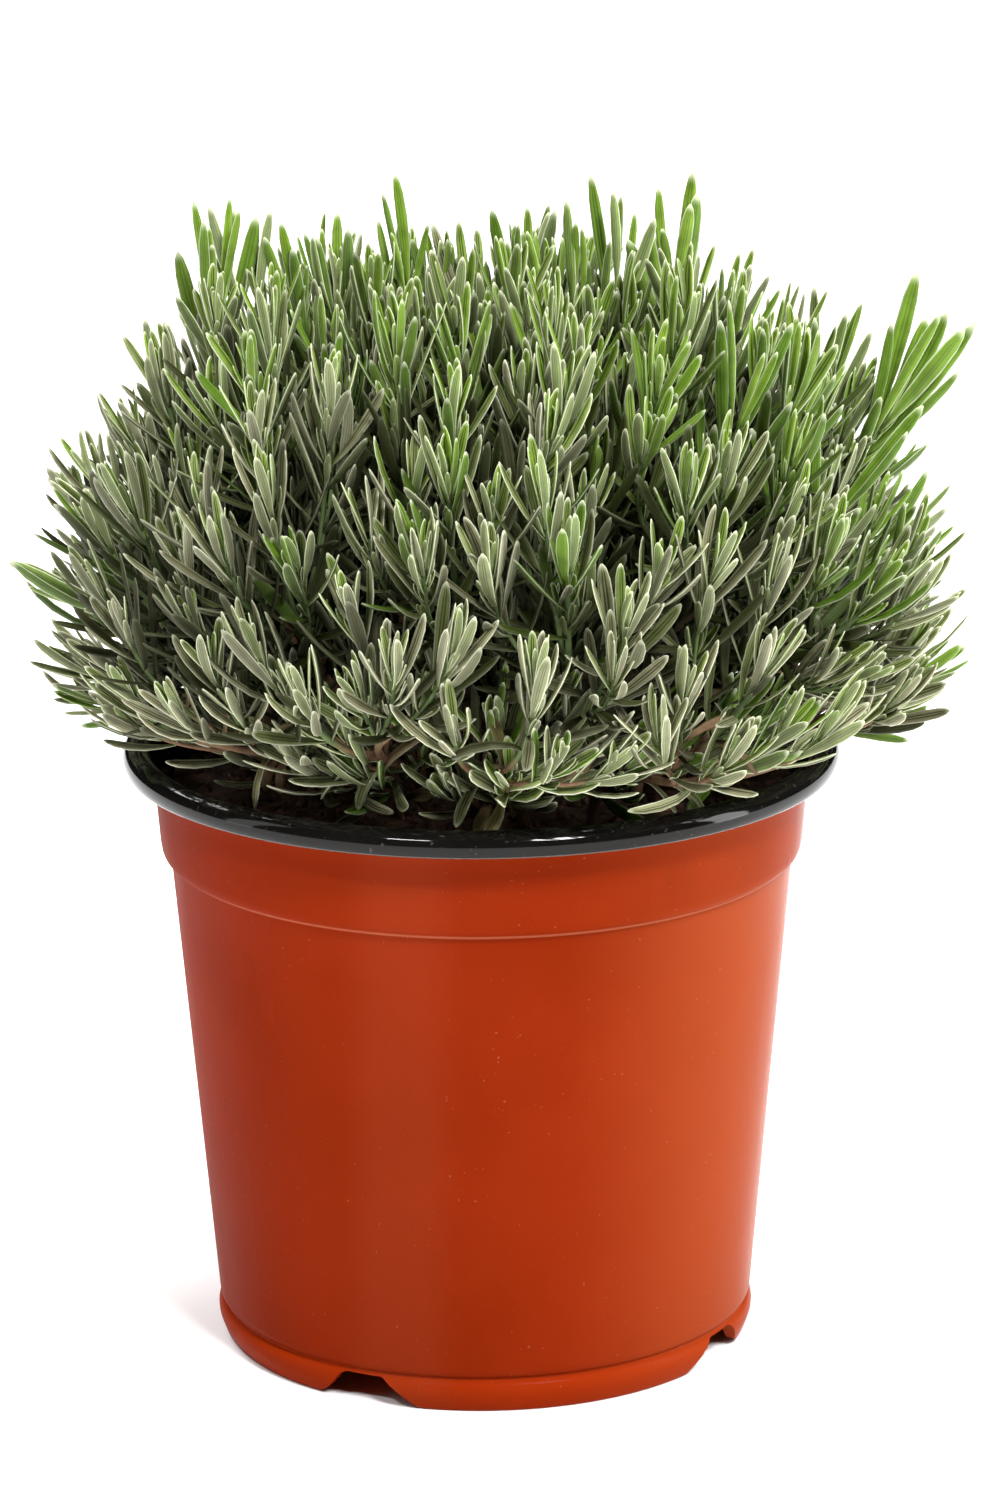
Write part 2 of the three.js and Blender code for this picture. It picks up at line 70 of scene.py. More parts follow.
# Gap between two feet, seen from outside, as places across and heights.
NOTCH_OUTLINE = [
    (-19.5, -0.6), (-18.4, 0.0), (-16.6, 0.3), (-15.0, 0.9), (-13.4, 1.9), (-12.0, 3.2),
    (-10.7, 4.8), (-9.6, 6.3), (-8.4, 7.5), (-6.8, 8.2), (3.2, 8.2), (4.3, 7.75), (12.4, 0.9),
    (13.4, 0.3), (14.6, 0.0), (15.6, -0.6),
]
NOTCH_DEPTHS = (-87.0, -61.0)  # from outside the wall to inside it
DRAINS = 6
DRAIN_RING = 46.0
DRAIN_RADIUS = 5.0
DRILL_HEIGHT = 12.1
DRILL_LENGTH = 14.0

# Outer face of the pot's wall as radius and height, from the base's edge to the flare.
WALL_FACE = [
    (70.6, 9.5), (71.25, 9.85), (71.65, 10.5), (71.85, 11.9), (74.0, 36.0), (76.2, 61.0),
    (78.4, 86.0), (80.6, 110.6), (82.55, 132.7), (82.8, 133.3), (83.3, 133.65), (84.05, 133.95),
    (84.6, 134.5), (84.95, 135.4), (85.25, 137.2), (85.8, 144.0), (86.4, 151.0), (86.9, 154.2),
    (87.6, 156.3), (88.5, 157.6), (89.4, 158.2),
]

# ---- Where the stems stand and where their shoots end ----

STEMS = 30
STEM_FOOT_RING = 56.0
FIRST_SHARE = 0.3
FIRST_AZIMUTH = 0.4
GOLDEN_ANGLE = math.pi * (3 - math.sqrt(5))
BUSH_RADIUS = 125.0
BUSH_WIDEST = 212.0
BUSH_TOP = 304.0
BUSH_BOTTOM = 140.0
BUSH_SQUARENESS = 2.4
LOWEST_TIP = math.radians(116)
OUTLINE_STEPS = 200
TIP_INSET = 17.0
SHOOT_SPREAD = 14.0
CROWN_RADIUS = 30.0
STEM_RISE = 0.3
STEM_UPRIGHT = 8.0
STEM_LEAD = 0.38
FORK = 0.42
HOLE_DEPTH = 24.0
DROOP = 62  # of the lowest shoots, in degrees from upright
LESS_IN_FRONT = 20
LOWEST_LEAF = 163.0
BROWN_BELOW = 168.0  # stems turn from brown to green above this height
GREENING = 24.0
BARE_BELOW = 172.0  # at the front the stems lose most leaves below this height
BARE_FRONT = 15.0
BARE_CHANCE = 0.65
ROLLED_BELOW = 195.0  # below these heights some old leaves roll up or dry out
ROLLED_CHANCE = 0.25
DRY_BELOW = 188.0
DRY_CHANCE = 0.2
TUFT_CHANCE = 0.5  # of two small leaves in the axil of a leaf
CROWN_TILT = math.radians(48)
CROWN_CHANCE = 0.5  # of a shoot there without its two youngest pairs
NEAREST_TIPS = 12.5
OVER_SKIRT = 8.0  # lowest tips above the foliage's lower edge
FEWEST_LEAVES = 4  # on a shoot that is drawn at all
SHORT_BELOW = 200.0  # shoots that end lower branch off near their tip
BRANCH_BACK = 34.0
BRANCH_DOWN = 10.0
INNER_SHOOTS = 130  # in the bush's shade
REAR_SHOOTS = 54  # low at the back, inside the rim
REAR_RINGS = (48, 82, 66)
REAR_HEIGHT = 181.0
INNER_MIDDLE = 200.0
# How far the plant reaches, as a share of the even outline, at these tilts in degrees.
REACH_TILTS = (0, 18, 30, 42, 52, 63, 77, 93, 120)
REACH_LEFT = (0.94, 0.95, 0.97, 0.94, 0.89, 0.87, 0.92, 0.94, 0.98)
REACH_RIGHT = (0.94, 0.95, 0.94, 0.93, 0.95, 0.98, 1.00, 1.01, 1.02)
SHOULDER_DROP = 0.08  # less than that at the back

# The photograph's camera in metres, turned by a few tenths of a degree about its own axis.
CAMERA_PLACE = (0.005, -1.5402, 0.5929)
CAMERA_AIM = (0.005, 0.0, 0.1594)
CAMERA_ROLL = math.radians(-0.389)


def clamp(value):
    return min(max(value, 0), 1)


def chance(n, k):
    """A fixed number between 0 and 1 for every pair of whole numbers."""
    s = math.sin(n * 12.9898 + k * 78.233) * 43758.5453
    return s - math.floor(s)


def outline_point(tilt, azimuth):
    """Point of the bush's rounded outline at an angle from straight up and an azimuth."""
    power = 2 / BUSH_SQUARENESS
    radius = BUSH_RADIUS * abs(math.sin(tilt)) ** power
    half = BUSH_TOP - BUSH_WIDEST if math.cos(tilt) > 0 else BUSH_WIDEST - BUSH_BOTTOM
    height = BUSH_WIDEST + half * math.copysign(abs(math.cos(tilt)) ** power, math.cos(tilt))
    return np.array([radius * math.cos(azimuth), radius * math.sin(azimuth), height])


def tilt_table():
    """Share of the outline's surface that lies above each of evenly spaced tilts."""
    tilts = [LOWEST_TIP * i / OUTLINE_STEPS for i in range(OUTLINE_STEPS + 1)]
    points = [outline_point(tilt, 0) for tilt in tilts]
    areas = [0.0]
    for above, below in zip(points, points[1:]):
        areas.append(areas[-1] + (above[0] + below[0]) * float(np.linalg.norm(above - below)))
    return np.array(areas) / areas[-1], np.array(tilts)


AREA_SHARES, TILTS = tilt_table()


def tilt_at(share):
    return float(np.interp(share, AREA_SHARES, TILTS))


def grown_point(tilt, azimuth):
    """Point of the outline of this plant, which reaches further on its right than on its left."""
    right = 0.5 + 0.5 * math.cos(azimuth)
    degrees = math.degrees(tilt)
    reach = (right * np.interp(degrees, REACH_TILTS, REACH_RIGHT)
             + (1 - right) * np.interp(degrees, REACH_TILTS, REACH_LEFT))
    shoulder = max(0.0, math.sin(math.pi * clamp((degrees - 15) / 65)))
    reach -= SHOULDER_DROP * shoulder * max(0.0, math.sin(azimuth))
    middle = UP * BUSH_WIDEST
    return middle + (outline_point(tilt, azimuth) - middle) * reach


def shoot_direction(tilt, azimuth):
    """Shoots near the crown stand up and low ones lean out, least of all towards the front."""
    droop = DROOP - LESS_IN_FRONT * max(0.0, -math.sin(azimuth))
    rise = math.radians(90 - droop * (tilt / LOWEST_TIP) ** 1.6)
    flat = math.cos(rise)
    return np.array([flat * math.cos(azimuth), flat * math.sin(azimuth), math.sin(rise)])


def lifted(end):
    """The tip raised where it would hang below the foliage's lower edge."""
    edge = np.interp(end[0], SKIRT_RIGHT, SKIRT_HEIGHT) + OVER_SKIRT
    return end + UP * max(0.0, edge - (end[2] + SKIRT_SLOPE * end[1]))


def main_stem(index):
    """Foot and the two tips of one of the stems that stand in the soil."""
    share = (index + FIRST_SHARE) / STEMS
    azimuth = FIRST_AZIMUTH + index * GOLDEN_ANGLE
    tilt = tilt_at(share)
    ring = STEM_FOOT_RING * math.sqrt(share)
    foot = np.array([ring * math.cos(azimuth), ring * math.sin(azimuth), SOIL_HEIGHT])
    turn = math.pi * chance(index, 1)
    spread = max(outline_point(tilt, 0)[0], CROWN_RADIUS)
    tips = []
    for side in (1, -1):
        aside = side * SHOOT_SPREAD * math.cos(turn) / spread
        down = side * SHOOT_SPREAD * math.sin(turn) / BUSH_RADIUS
        lean = min(max(tilt + down, 0.01), LOWEST_TIP + 0.02)
        along = shoot_direction(lean, azimuth + aside)
        end = lifted(grown_point(lean, azimuth + aside) - TIP_INSET * along)
        tips.append((end, along))
    return foot, tips


class Bow:
    """A cubic Bézier curve through space."""

    def __init__(self, a, b, c, d):
        self.points = [np.asarray(p, float) for p in (a, b, c, d)]

    def at(self, t):
        a, b, c, d = self.points
        s = 1 - t
        return s ** 3 * a + 3 * s * s * t * b + 3 * s * t * t * c + t ** 3 * d

    def heading(self, t):
        a, b, c, d = self.points
        s = 1 - t
        way = s * s * (b - a) + 2 * s * t * (c - b) + t * t * (d - c)
        return way / np.linalg.norm(way)

    def runs(self):
        """Parameters along the curve and the distance from its start to each."""
        ts = np.linspace(0, 1, 61)
        places = np.array([self.at(t) for t in ts])
        steps = np.linalg.norm(np.diff(places, axis=0), axis=1)
        return ts, np.concatenate([[0], np.cumsum(steps)])

    def length(self):
        return self.runs()[1][-1]

    def even(self, steps):
        """Parameters of evenly spaced places."""
        ts, run = self.runs()
        return np.interp(np.linspace(0, run[-1], steps), run, ts)

    def back(self, distance):
        """Parameter of the place that lies a distance before the end."""
        ts, run = self.runs()
        return float(np.interp(run[-1] - distance, run, ts))


def trunk_bow(foot, end, along):
    reach = np.linalg.norm(end - foot)
    lead = end - along * STEM_LEAD * reach
    return Bow(foot, foot + UP * (STEM_RISE * reach + STEM_UPRIGHT), lead, end)


def branch_bow(trunk, share, end, along):
    start = trunk.at(share)
    reach = np.linalg.norm(end - start)
    lead = end - along * STEM_LEAD * reach
    return Bow(start, start + trunk.heading(share) * STEM_RISE * reach, lead, end)


# ---- Helpers for objects and materials ----

def nothing_selected():
    if bpy.context.object and bpy.context.object.mode != "OBJECT":
        bpy.ops.object.mode_set(mode="OBJECT")
    bpy.ops.object.select_all(action="DESELECT")


def only(piece):
    nothing_selected()
    piece.select_set(True)
    bpy.context.view_layer.objects.active = piece


def in_place(piece):
    """Moves the object's place, turn and scale into its mesh."""
    only(piece)
    bpy.ops.object.transform_apply(location=True, rotation=True, scale=True)
    return piece


def lathe(name, profile, sides):
    """A ring of edges drawn up along a closed profile of radius and height, as on a wheel."""
    nothing_selected()
    radius, height = profile[0]
    bpy.ops.mesh.primitive_circle_add(
        vertices=sides, radius=radius * MM, location=(0, 0, height * MM))
    piece = bpy.context.object
    piece.name = piece.data.name = name
    in_place(piece)
    bpy.ops.object.mode_set(mode="EDIT")
    bpy.ops.mesh.select_all(action="SELECT")
    for next_radius, next_height in [*profile[1:], profile[0]]:
        bpy.ops.mesh.extrude_region_move(
            TRANSFORM_OT_translate={"value": (0, 0, (next_height - height) * MM)})
        widen = next_radius / radius
        bpy.ops.transform.resize(value=(widen, widen, 1), center_override=(0, 0, next_height * MM))
        radius, height = next_radius, next_height
    bpy.ops.mesh.select_all(action="SELECT")
    bpy.ops.mesh.remove_doubles(threshold=1e-6)
    bpy.ops.mesh.normals_make_consistent(inside=False)
    bpy.ops.object.mode_set(mode="OBJECT")
    return piece


def offset_line(line, distance):
    """The line moved sideways to its left by a distance, corner by corner."""
    points = np.array(line, float)
    steps = np.diff(points, axis=0)
    steps /= np.linalg.norm(steps, axis=1)[:, None]
    before = np.vstack([steps[:1], steps])
    after = np.vstack([steps, steps[-1:]])
    along = before + after
    along /= np.linalg.norm(along, axis=1)[:, None]
    half = np.maximum((along * after).sum(axis=1), 0.5)[:, None]
    return points + np.column_stack([-along[:, 1], along[:, 0]]) * distance / half


def cut(piece, cutters):
    """Takes the cutters' space out of a piece and deletes them."""
    nothing_selected()
    for cutter in cutters:
        cutter.select_set(True)
    bpy.context.view_layer.objects.active = cutters[0]
    if len(cutters) > 1:
        bpy.ops.object.join()
    cutter = bpy.context.object
    only(piece)
    bpy.ops.object.modifier_add(type="BOOLEAN")
    modifier = piece.modifiers[-1]
    modifier.operation = "DIFFERENCE"
    modifier.solver = "EXACT"
    modifier.object = cutter
    bpy.ops.object.modifier_apply(modifier=modifier.name)
    bpy.data.objects.remove(cutter, do_unlink=True)


def drain_drills():
    drills = []
    for i in range(DRAINS):
        angle = 2 * math.pi * (i + 0.5) / DRAINS
        across, deep = DRAIN_RING * math.cos(angle) * MM, DRAIN_RING * math.sin(angle) * MM
        nothing_selected()
        bpy.ops.mesh.primitive_cylinder_add(
            vertices=40, radius=DRAIN_RADIUS * MM, depth=DRILL_LENGTH * MM,
            location=(across, deep, DRILL_HEIGHT * MM))
        drills.append(in_place(bpy.context.object))
    return drills


def notch_cutter(degrees):
    """The gap between two feet as a solid: one foot ends in a round lobe, the other in a slope."""
    side = -1 if 0 < degrees < 180 else 1
    count = len(NOTCH_OUTLINE)
    points = [(side * x, y, z) for y in NOTCH_DEPTHS for x, z in NOTCH_OUTLINE]
    faces = [list(range(count)), list(range(2 * count - 1, count - 1, -1))]
    faces += [[k, k + count, (k + 1) % count + count, (k + 1) % count] for k in range(count)]
    cutter = mesh_piece("notch_cutter", points, faces)
    only(cutter)
    bpy.ops.object.mode_set(mode="EDIT")
    bpy.ops.mesh.select_all(action="SELECT")
    bpy.ops.mesh.normals_make_consistent(inside=False)
    bpy.ops.transform.rotate(
        value=-math.radians(degrees), orient_axis="Z", center_override=(0, 0, 0))
    bpy.ops.object.mode_set(mode="OBJECT")
    return in_place(cutter)


def smooth(piece, degrees):
    only(piece)
    bpy.ops.object.shade_smooth_by_angle(angle=math.radians(degrees))


def mesh_piece(name, points, faces):
    """A mesh object from an array of points in millimetres and lists of faces."""
    mesh = bpy.data.meshes.new(name)
    mesh.from_pydata((np.asarray(points) * MM).tolist(), [], faces)
    mesh.update()
    piece = bpy.data.objects.new(name, mesh)
    bpy.context.collection.objects.link(piece)
    return piece


def set_material(piece, *materials):
    piece.data.materials.clear()
    for material in materials:
        piece.data.materials.append(material)


class Finish:
    """A node material that is built step by step: each step returns a socket for the next."""

    def __init__(self, name, **constants):
        self.material = bpy.data.materials.new(name)
        self.material.use_nodes = True
        self.nodes = self.material.node_tree.nodes
        self.links = self.material.node_tree.links
        self.shader = self.nodes["Principled BSDF"]
        for socket, value in constants.items():
            self.shader.inputs[socket.replace("_", " ")].default_value = value
        self.place = self.nodes.new("ShaderNodeTexCoord").outputs["Object"]

    def put(self, kind, inputs, output=0, **settings):
        node = self.nodes.new("ShaderNode" + kind)
        for name, value in settings.items():
            setattr(node, name, value)
        for name, value in inputs.items():
            socket = node.inputs[name]
            if isinstance(value, bpy.types.NodeSocket):
                self.links.new(value, socket)
            else:
                socket.default_value = value
        return node.outputs[output]

    def noise(self, scale, detail, stretch=None):
        where = self.place
        if stretch:
            where = self.put("Mapping", {"Vector": where, "Scale": stretch})
        return self.put("TexNoise", {"Vector": where, "Scale": scale, "Detail": detail,
                                     "Roughness": 0.5})

    def step(self, value, low, high, to_low=0.0, to_high=1.0):
        return self.put("MapRange", {"Value": value, "From Min": low, "From Max": high,
                                     "To Min": to_low, "To Max": to_high},
                        interpolation_type="SMOOTHSTEP")

    def sum(self, kind, a, b):
        return self.put("Math", {0: a, 1: b}, operation=kind)

    def times(self, a, b):
        return self.sum("MULTIPLY", a, b)

    def band(self, value, low, full, fading, high, strength):
        """A strength between two places of a value, fading to nothing on either side."""
        return self.times(self.step(value, low, full),
                          self.step(value, fading, high, strength, 0.0))

    def mix(self, share, a, b):
        node = self.nodes.new("ShaderNodeMix")
        node.data_type = "RGBA"
        for index, value in ((0, share), (6, a), (7, b)):
            if isinstance(value, bpy.types.NodeSocket):
                self.links.new(value, node.inputs[index])
            elif index:
                node.inputs[index].default_value = (*value[:3], 1.0)
            else:
                node.inputs[index].default_value = value
        return node.outputs[2]

    def parts(self, vector):
        node = self.nodes.new("ShaderNodeSeparateXYZ")
        self.links.new(vector, node.inputs[0])
        return list(node.outputs)

    def attribute(self, name):
        node = self.nodes.new("ShaderNodeAttribute")
        node.attribute_name = name
        parts = self.nodes.new("ShaderNodeSeparateColor")
        self.links.new(node.outputs["Color"], parts.inputs[0])
        return [*parts.outputs, node.outputs["Alpha"]]

    def bump(self, height, strength, distance, normal=None):
        inputs = {"Height": height, "Strength": strength, "Distance": distance}
        if normal:
            inputs["Normal"] = normal
        return self.put("Bump", inputs)

    def into(self, **sockets):
        for name, socket in sockets.items():
            self.links.new(socket, self.shader.inputs[name.replace("_", " ")])
        return self.material


# ---- Settings ----

def colour(name, description, default):
    return bpy.props.FloatVectorProperty(
        name=name, description=description, default=default, size=3, min=0, max=1, subtype="COLOR")


def whole_number(name, description, default, low, high):
    return bpy.props.IntProperty(
        name=name, description=description, default=default, min=low, max=high)


def measure(name, description, default, low, high):
    return bpy.props.FloatProperty(
        name=name, description=description, default=default, min=low, max=high, unit="LENGTH")


class PotSettings(bpy.types.PropertyGroup):
    sides: whole_number("Sides", "Facets round the pot", 144, 24, 360)
    terracotta: colour("Terracotta", "Colour of the outer layer", (0.186, 0.0143, 0.0012))
    black: colour("Black", "Colour of the lining and its rolled rim", (0.005, 0.0044, 0.0039))
    lip_turn: measure(
        "Lip height", "Height of the rolled rim's lower edge", 157.8 * MM, 0.15, 0.164)


class SoilSettings(bpy.types.PropertyGroup):
    crumbs: whole_number("Crumbs", "Loose crumbs lying on the soil", 1500, 0, 4000)
    brown: colour("Brown", "Colour of the moist soil", (0.034, 0.016, 0.009))


class FoliageSettings(bpy.types.PropertyGroup):
    shoots: whole_number("Shoots", "Places for shoots over the bush's outline", 350, 60, 600)
    leaf_length: measure("Leaf length", "Length of a full-grown leaf", 22 * MM, 0.01, 0.06)
    leaf_width: measure("Leaf width", "Width of a full-grown leaf", 2.9 * MM, 0.001, 0.01)
    sage: colour("Sage", "Olive green of a grown leaf", (0.155, 0.19, 0.065))
    silver: colour("Silver", "Grey of a leaf with many hairs", (0.258, 0.25, 0.146))
    lush: colour("Lush", "Full green of a leaf with few hairs", (0.09, 0.18, 0.016))
    # Deep green is partly the colour of old leaves and mostly painted shade for leaves deep inside
    # the bush.
    deep: colour("Deep green", "Green of an old leaf inside the bush", (0.013, 0.0145, 0.0028))
    young: colour("Young green", "Yellow-green of a young leaf", (0.21, 0.35, 0.032))
    hair: colour("Hair", "Pale hairs along a leaf's rolled margins", (0.82, 0.84, 0.62))
    bark: colour("Bark", "Brown of the woody stems", (0.16, 0.09, 0.05))


class StudioSettings(bpy.types.PropertyGroup):
    lens: bpy.props.FloatProperty(
        name="Lens", description="Focal length for a frame whose long side is 36 mm",
        default=145.0, min=20, max=400)
    floor: measure("Floor", "Side of the floor", 14.0, 1, 60)


def settings():
    return bpy.context.scene.lavender


class LavenderSettings(bpy.types.PropertyGroup):
    pot: bpy.props.PointerProperty(type=PotSettings)
    soil: bpy.props.PointerProperty(type=SoilSettings)
    foliage: bpy.props.PointerProperty(type=FoliageSettings)
    studio: bpy.props.PointerProperty(type=StudioSettings)


# ---- Finishes ----

def toned(tint, share, lift=0.0):
    return tuple(min(c * share + lift, 1) for c in tint)


def terracotta_finish(pot):
    f = Finish("terracotta_plastic", Roughness=0.25, Specular_IOR_Level=0.009)
    cloud = f.noise(14, 3)
    streak = f.noise(60, 3, stretch=(1, 1, 0.12))
    base = tuple(pot.terracotta)
    tone = f.mix(f.step(cloud, 0.3, 0.7), toned(base, 0.9), toned(base, 1.07, 0.001))
    across, _, height = f.parts(f.place)
    # Painted light: the right side, most of all below the collar, is painted lighter and more
    # orange, as if lit from the right.
    right = f.times(f.step(across, 0.015, 0.088, 0.0, 0.75),
                    f.step(height, 0.130, 0.138, 1.0, 0.45))
    tone = f.mix(right, tone, (0.32, 0.064, 0.018))
    # Painted light: the feet below about 10 mm are painted lighter, as if lit by the floor below
    # them.
    tone = f.mix(f.step(height, 0.0085, 0.0105, 0.45, 0.0), tone, (0.29, 0.024, 0.002))
    # Painted highlight: a soft, slightly wavering lighter vertical band on the front left of the
    # pot.
    painted_highlight_band = f.sum("ADD", across, f.times(f.noise(9, 2), 0.012))
    painted_highlight_band = f.band(painted_highlight_band, -0.034, -0.020, -0.012, 0.002, 0.10)
    tone = f.mix(painted_highlight_band, tone, (0.34, 0.07, 0.03))
    # Painted highlight: a thin pale line along the step under the collar, where the ledge catches
    # the light.
    painted_step_highlight = f.band(height, 0.13275, 0.13325, 0.1337, 0.1343, 0.35)
    tone = f.mix(painted_step_highlight, tone, (0.5, 0.17, 0.09))
    specks = f.step(f.noise(900, 1), 0.75, 0.78)
    tone = f.mix(f.times(specks, 0.15), tone, (0.5, 0.25, 0.16))
    rough = f.sum("ADD", f.step(streak, 0.25, 0.75, 0.18, 0.28),
                  f.step(across, -0.086, -0.05, 0.25, 0.0))
    relief = f.bump(f.noise(420, 2), 0.05, 0.0002)
    relief = f.bump(f.noise(24, 2), 0.10, 0.0008, relief)
    return f.into(Base_Color=tone, Roughness=rough, Normal=relief)


def black_finish(pot):
    f = Finish("black_plastic", Roughness=0.2, Specular_IOR_Level=0.2)
    base = tuple(pot.black)
    dust = f.step(f.noise(700, 2), 0.66, 0.76)
    tone = f.mix(f.times(dust, 0.3), base, (0.12, 0.11, 0.10))
    scuff = f.noise(240, 4, stretch=(1, 1, 0.2))
    rough = f.step(scuff, 0.3, 0.75, 0.05, 0.10)
    across, deep, height = f.parts(f.place)
    flat = f.put("CombineXYZ", {"X": across, "Y": deep})
    ring = f.put("VectorMath", {0: flat}, output=1, operation="LENGTH")
    # Painted highlights: thin paler lines along the lower edge of the rolled lip and along the
    # rim's inner top edge, where the edges catch the light.
    lip = f.band(height, 0.15745, 0.15765, 0.15785, 0.1581, 0.45)
    lip = f.times(lip, f.step(ring, 0.0934, 0.0936))
    edge = f.band(ring, 0.0874, 0.0876, 0.0880, 0.0884, 0.35)
    edge = f.times(edge, f.step(height, 0.1610, 0.1616))
    tone = f.mix(f.sum("MAXIMUM", lip, edge), tone, (0.20, 0.19, 0.17))
    relief = f.bump(f.noise(90, 3), 0.03, 0.0004)
    return f.into(Base_Color=tone, Roughness=rough, Normal=relief)


def soil_finish(soil):
    f = Finish("potting_soil", Roughness=0.9, Specular_IOR_Level=0.25)
    base = tuple(soil.brown)
    tone = f.mix(f.step(f.noise(260, 4), 0.35, 0.8), base, toned(base, 3.2, 0.004))
    tone = f.mix(f.step(f.noise(900, 2), 0.68, 0.75), tone, (0.16, 0.10, 0.06))
    relief = f.bump(f.noise(800, 4), 0.7, 0.0008)
    return f.into(Base_Color=tone, Normal=relief)


def crumb_finish(soil):
    f = Finish("soil_crumbs", Roughness=0.85, Specular_IOR_Level=0.3)
    kind, shade, _ = f.attribute("crumb")[:3]
    base = tuple(soil.brown)
    tone = f.mix(shade, toned(base, 0.7), toned(base, 3.0, 0.005))
    tone = f.mix(f.step(kind, 0.86, 0.9), tone, (0.13, 0.06, 0.03))
    tone = f.mix(f.step(kind, 0.975, 0.98), tone, (0.42, 0.38, 0.32))
    relief = f.bump(f.noise(1500, 3), 0.5, 0.0004)
    return f.into(Base_Color=tone, Normal=relief)


def leaf_finish(foliage):
    f = Finish("lavender_leaf", Roughness=0.5, Specular_IOR_Level=0.10)
    margin, under, along = f.attribute("blade")[:3]
    tone, youth, dry, kind = f.attribute("growth")
    deep, young, hair = tuple(foliage.deep), tuple(foliage.young), tuple(foliage.hair)
    blade = f.mix(f.step(kind, 0.0, 0.45), tuple(foliage.silver), tuple(foliage.sage))
    blade = f.mix(f.step(kind, 0.5, 0.9), blade, tuple(foliage.lush))
    blade = f.mix(f.step(youth, 0.05, 0.95), blade, young)
    blade = f.mix(f.step(along, 0.0, 0.35, 0.4, 0.0), blade, young)
    blade = f.mix(f.step(f.noise(170, 3), 0.35, 0.75, 0.0, 0.35), blade, deep)
    groove = f.band(margin, 0.03, 0.12, 0.17, 0.33, 0.85)
    groove = f.times(groove, f.step(kind, 0.7, 1.0, 1.0, 0.45))
    blade = f.mix(groove, blade, deep)
    rim = f.times(f.step(margin, 0.73, 0.93), f.step(kind, 0.6, 1.0, 0.9, 0.45))
    blade = f.mix(rim, blade, hair)
    felt = f.times(under, f.step(kind, 0.5, 1.0, 0.28, 0.04))
    blade = f.mix(felt, blade, toned(hair, 0.5))
    blade = f.mix(f.step(along, 0.92, 1.0, 0.0, 0.5), blade, hair)
    # Painted shade, partly age: leaves with a low tone turn towards the near-black deep green.
    blade = f.mix(f.step(tone, 0.0, 0.7, 0.93, 0.0), blade, deep)
    brown = f.mix(f.noise(300, 3), (0.08, 0.04, 0.018), (0.26, 0.17, 0.09))
    blade = f.mix(dry, blade, brown)
    relief = f.bump(f.noise(5200, 2), 0.35, 0.00015)
    return f.into(Base_Color=blade, Normal=relief)


def stem_finish(foliage):
    f = Finish("lavender_stem", Roughness=0.75, Specular_IOR_Level=0.25)
    youth = f.attribute("growth")[1]
    bark = tuple(foliage.bark)
    grain = f.noise(500, 4, stretch=(1, 1, 0.25))
    brown = f.mix(grain, toned(bark, 0.45), toned(bark, 1.7))
    green = f.mix(f.noise(300, 2), (0.05, 0.08, 0.02), (0.13, 0.18, 0.07))
    both = f.mix(f.step(youth, 0.25, 0.6), brown, green)
    relief = f.bump(f.noise(700, 4, stretch=(1, 1, 0.3)), 0.5, 0.0005)
    return f.into(Base_Color=both, Normal=relief)


# ---- Leaves and stems as arrays ----

# Cross-section of a leaf in half-widths, with rolled margins and a groove over the midrib:
# across, height, nearness to the margin, underside.
LEAF_SECTION = np.array([
    (-1.00, -0.20, 1.00, 0.3), (-0.58, 0.24, 0.42, 0.0), (0.00, -0.02, 0.00, 0.0),
    (0.58, 0.24, 0.42, 0.0), (1.00, -0.20, 1.00, 0.3), (0.00, -0.36, 0.00, 1.0),
])
# Along the leaf: place, width, thickness.
LEAF_STATIONS = np.array([
    (0.00, 0.36, 1.2), (0.18, 0.54, 1.0), (0.42, 0.84, 1.0), (0.66, 1.00, 1.0),
    (0.85, 0.88, 0.95), (0.955, 0.56, 0.8), (1.00, 0.15, 0.5),
])

# For each pair of leaves, from the tip down: distance back from the shoot's tip, length and width
# as shares of a full-grown leaf, spread at the root and at the tip in degrees.
LEAF_PAIRS = [
    (0.6, 0.38, 0.55, 5, 2), (1.8, 0.58, 0.70, 8, 4), (3.8, 0.76, 0.84, 13, 7),
    (6.6, 0.90, 0.95, 19, 11), (10.2, 1.00, 1.00, 26, 16), (14.8, 1.05, 1.05, 33, 23),
    (20.5, 1.06, 1.08, 41, 32), (27.5, 1.04, 1.08, 49, 42), (36.0, 1.00, 1.05, 57, 53),
    (46.0, 0.98, 1.00, 64, 64), (57.0, 0.95, 1.00, 70, 74), (70.0, 0.92, 1.00, 72, 78),
    (83.0, 0.88, 0.95, 74, 80), (97.0, 0.85, 0.95, 74, 80), (112.0, 0.85, 0.95, 74, 80),
]
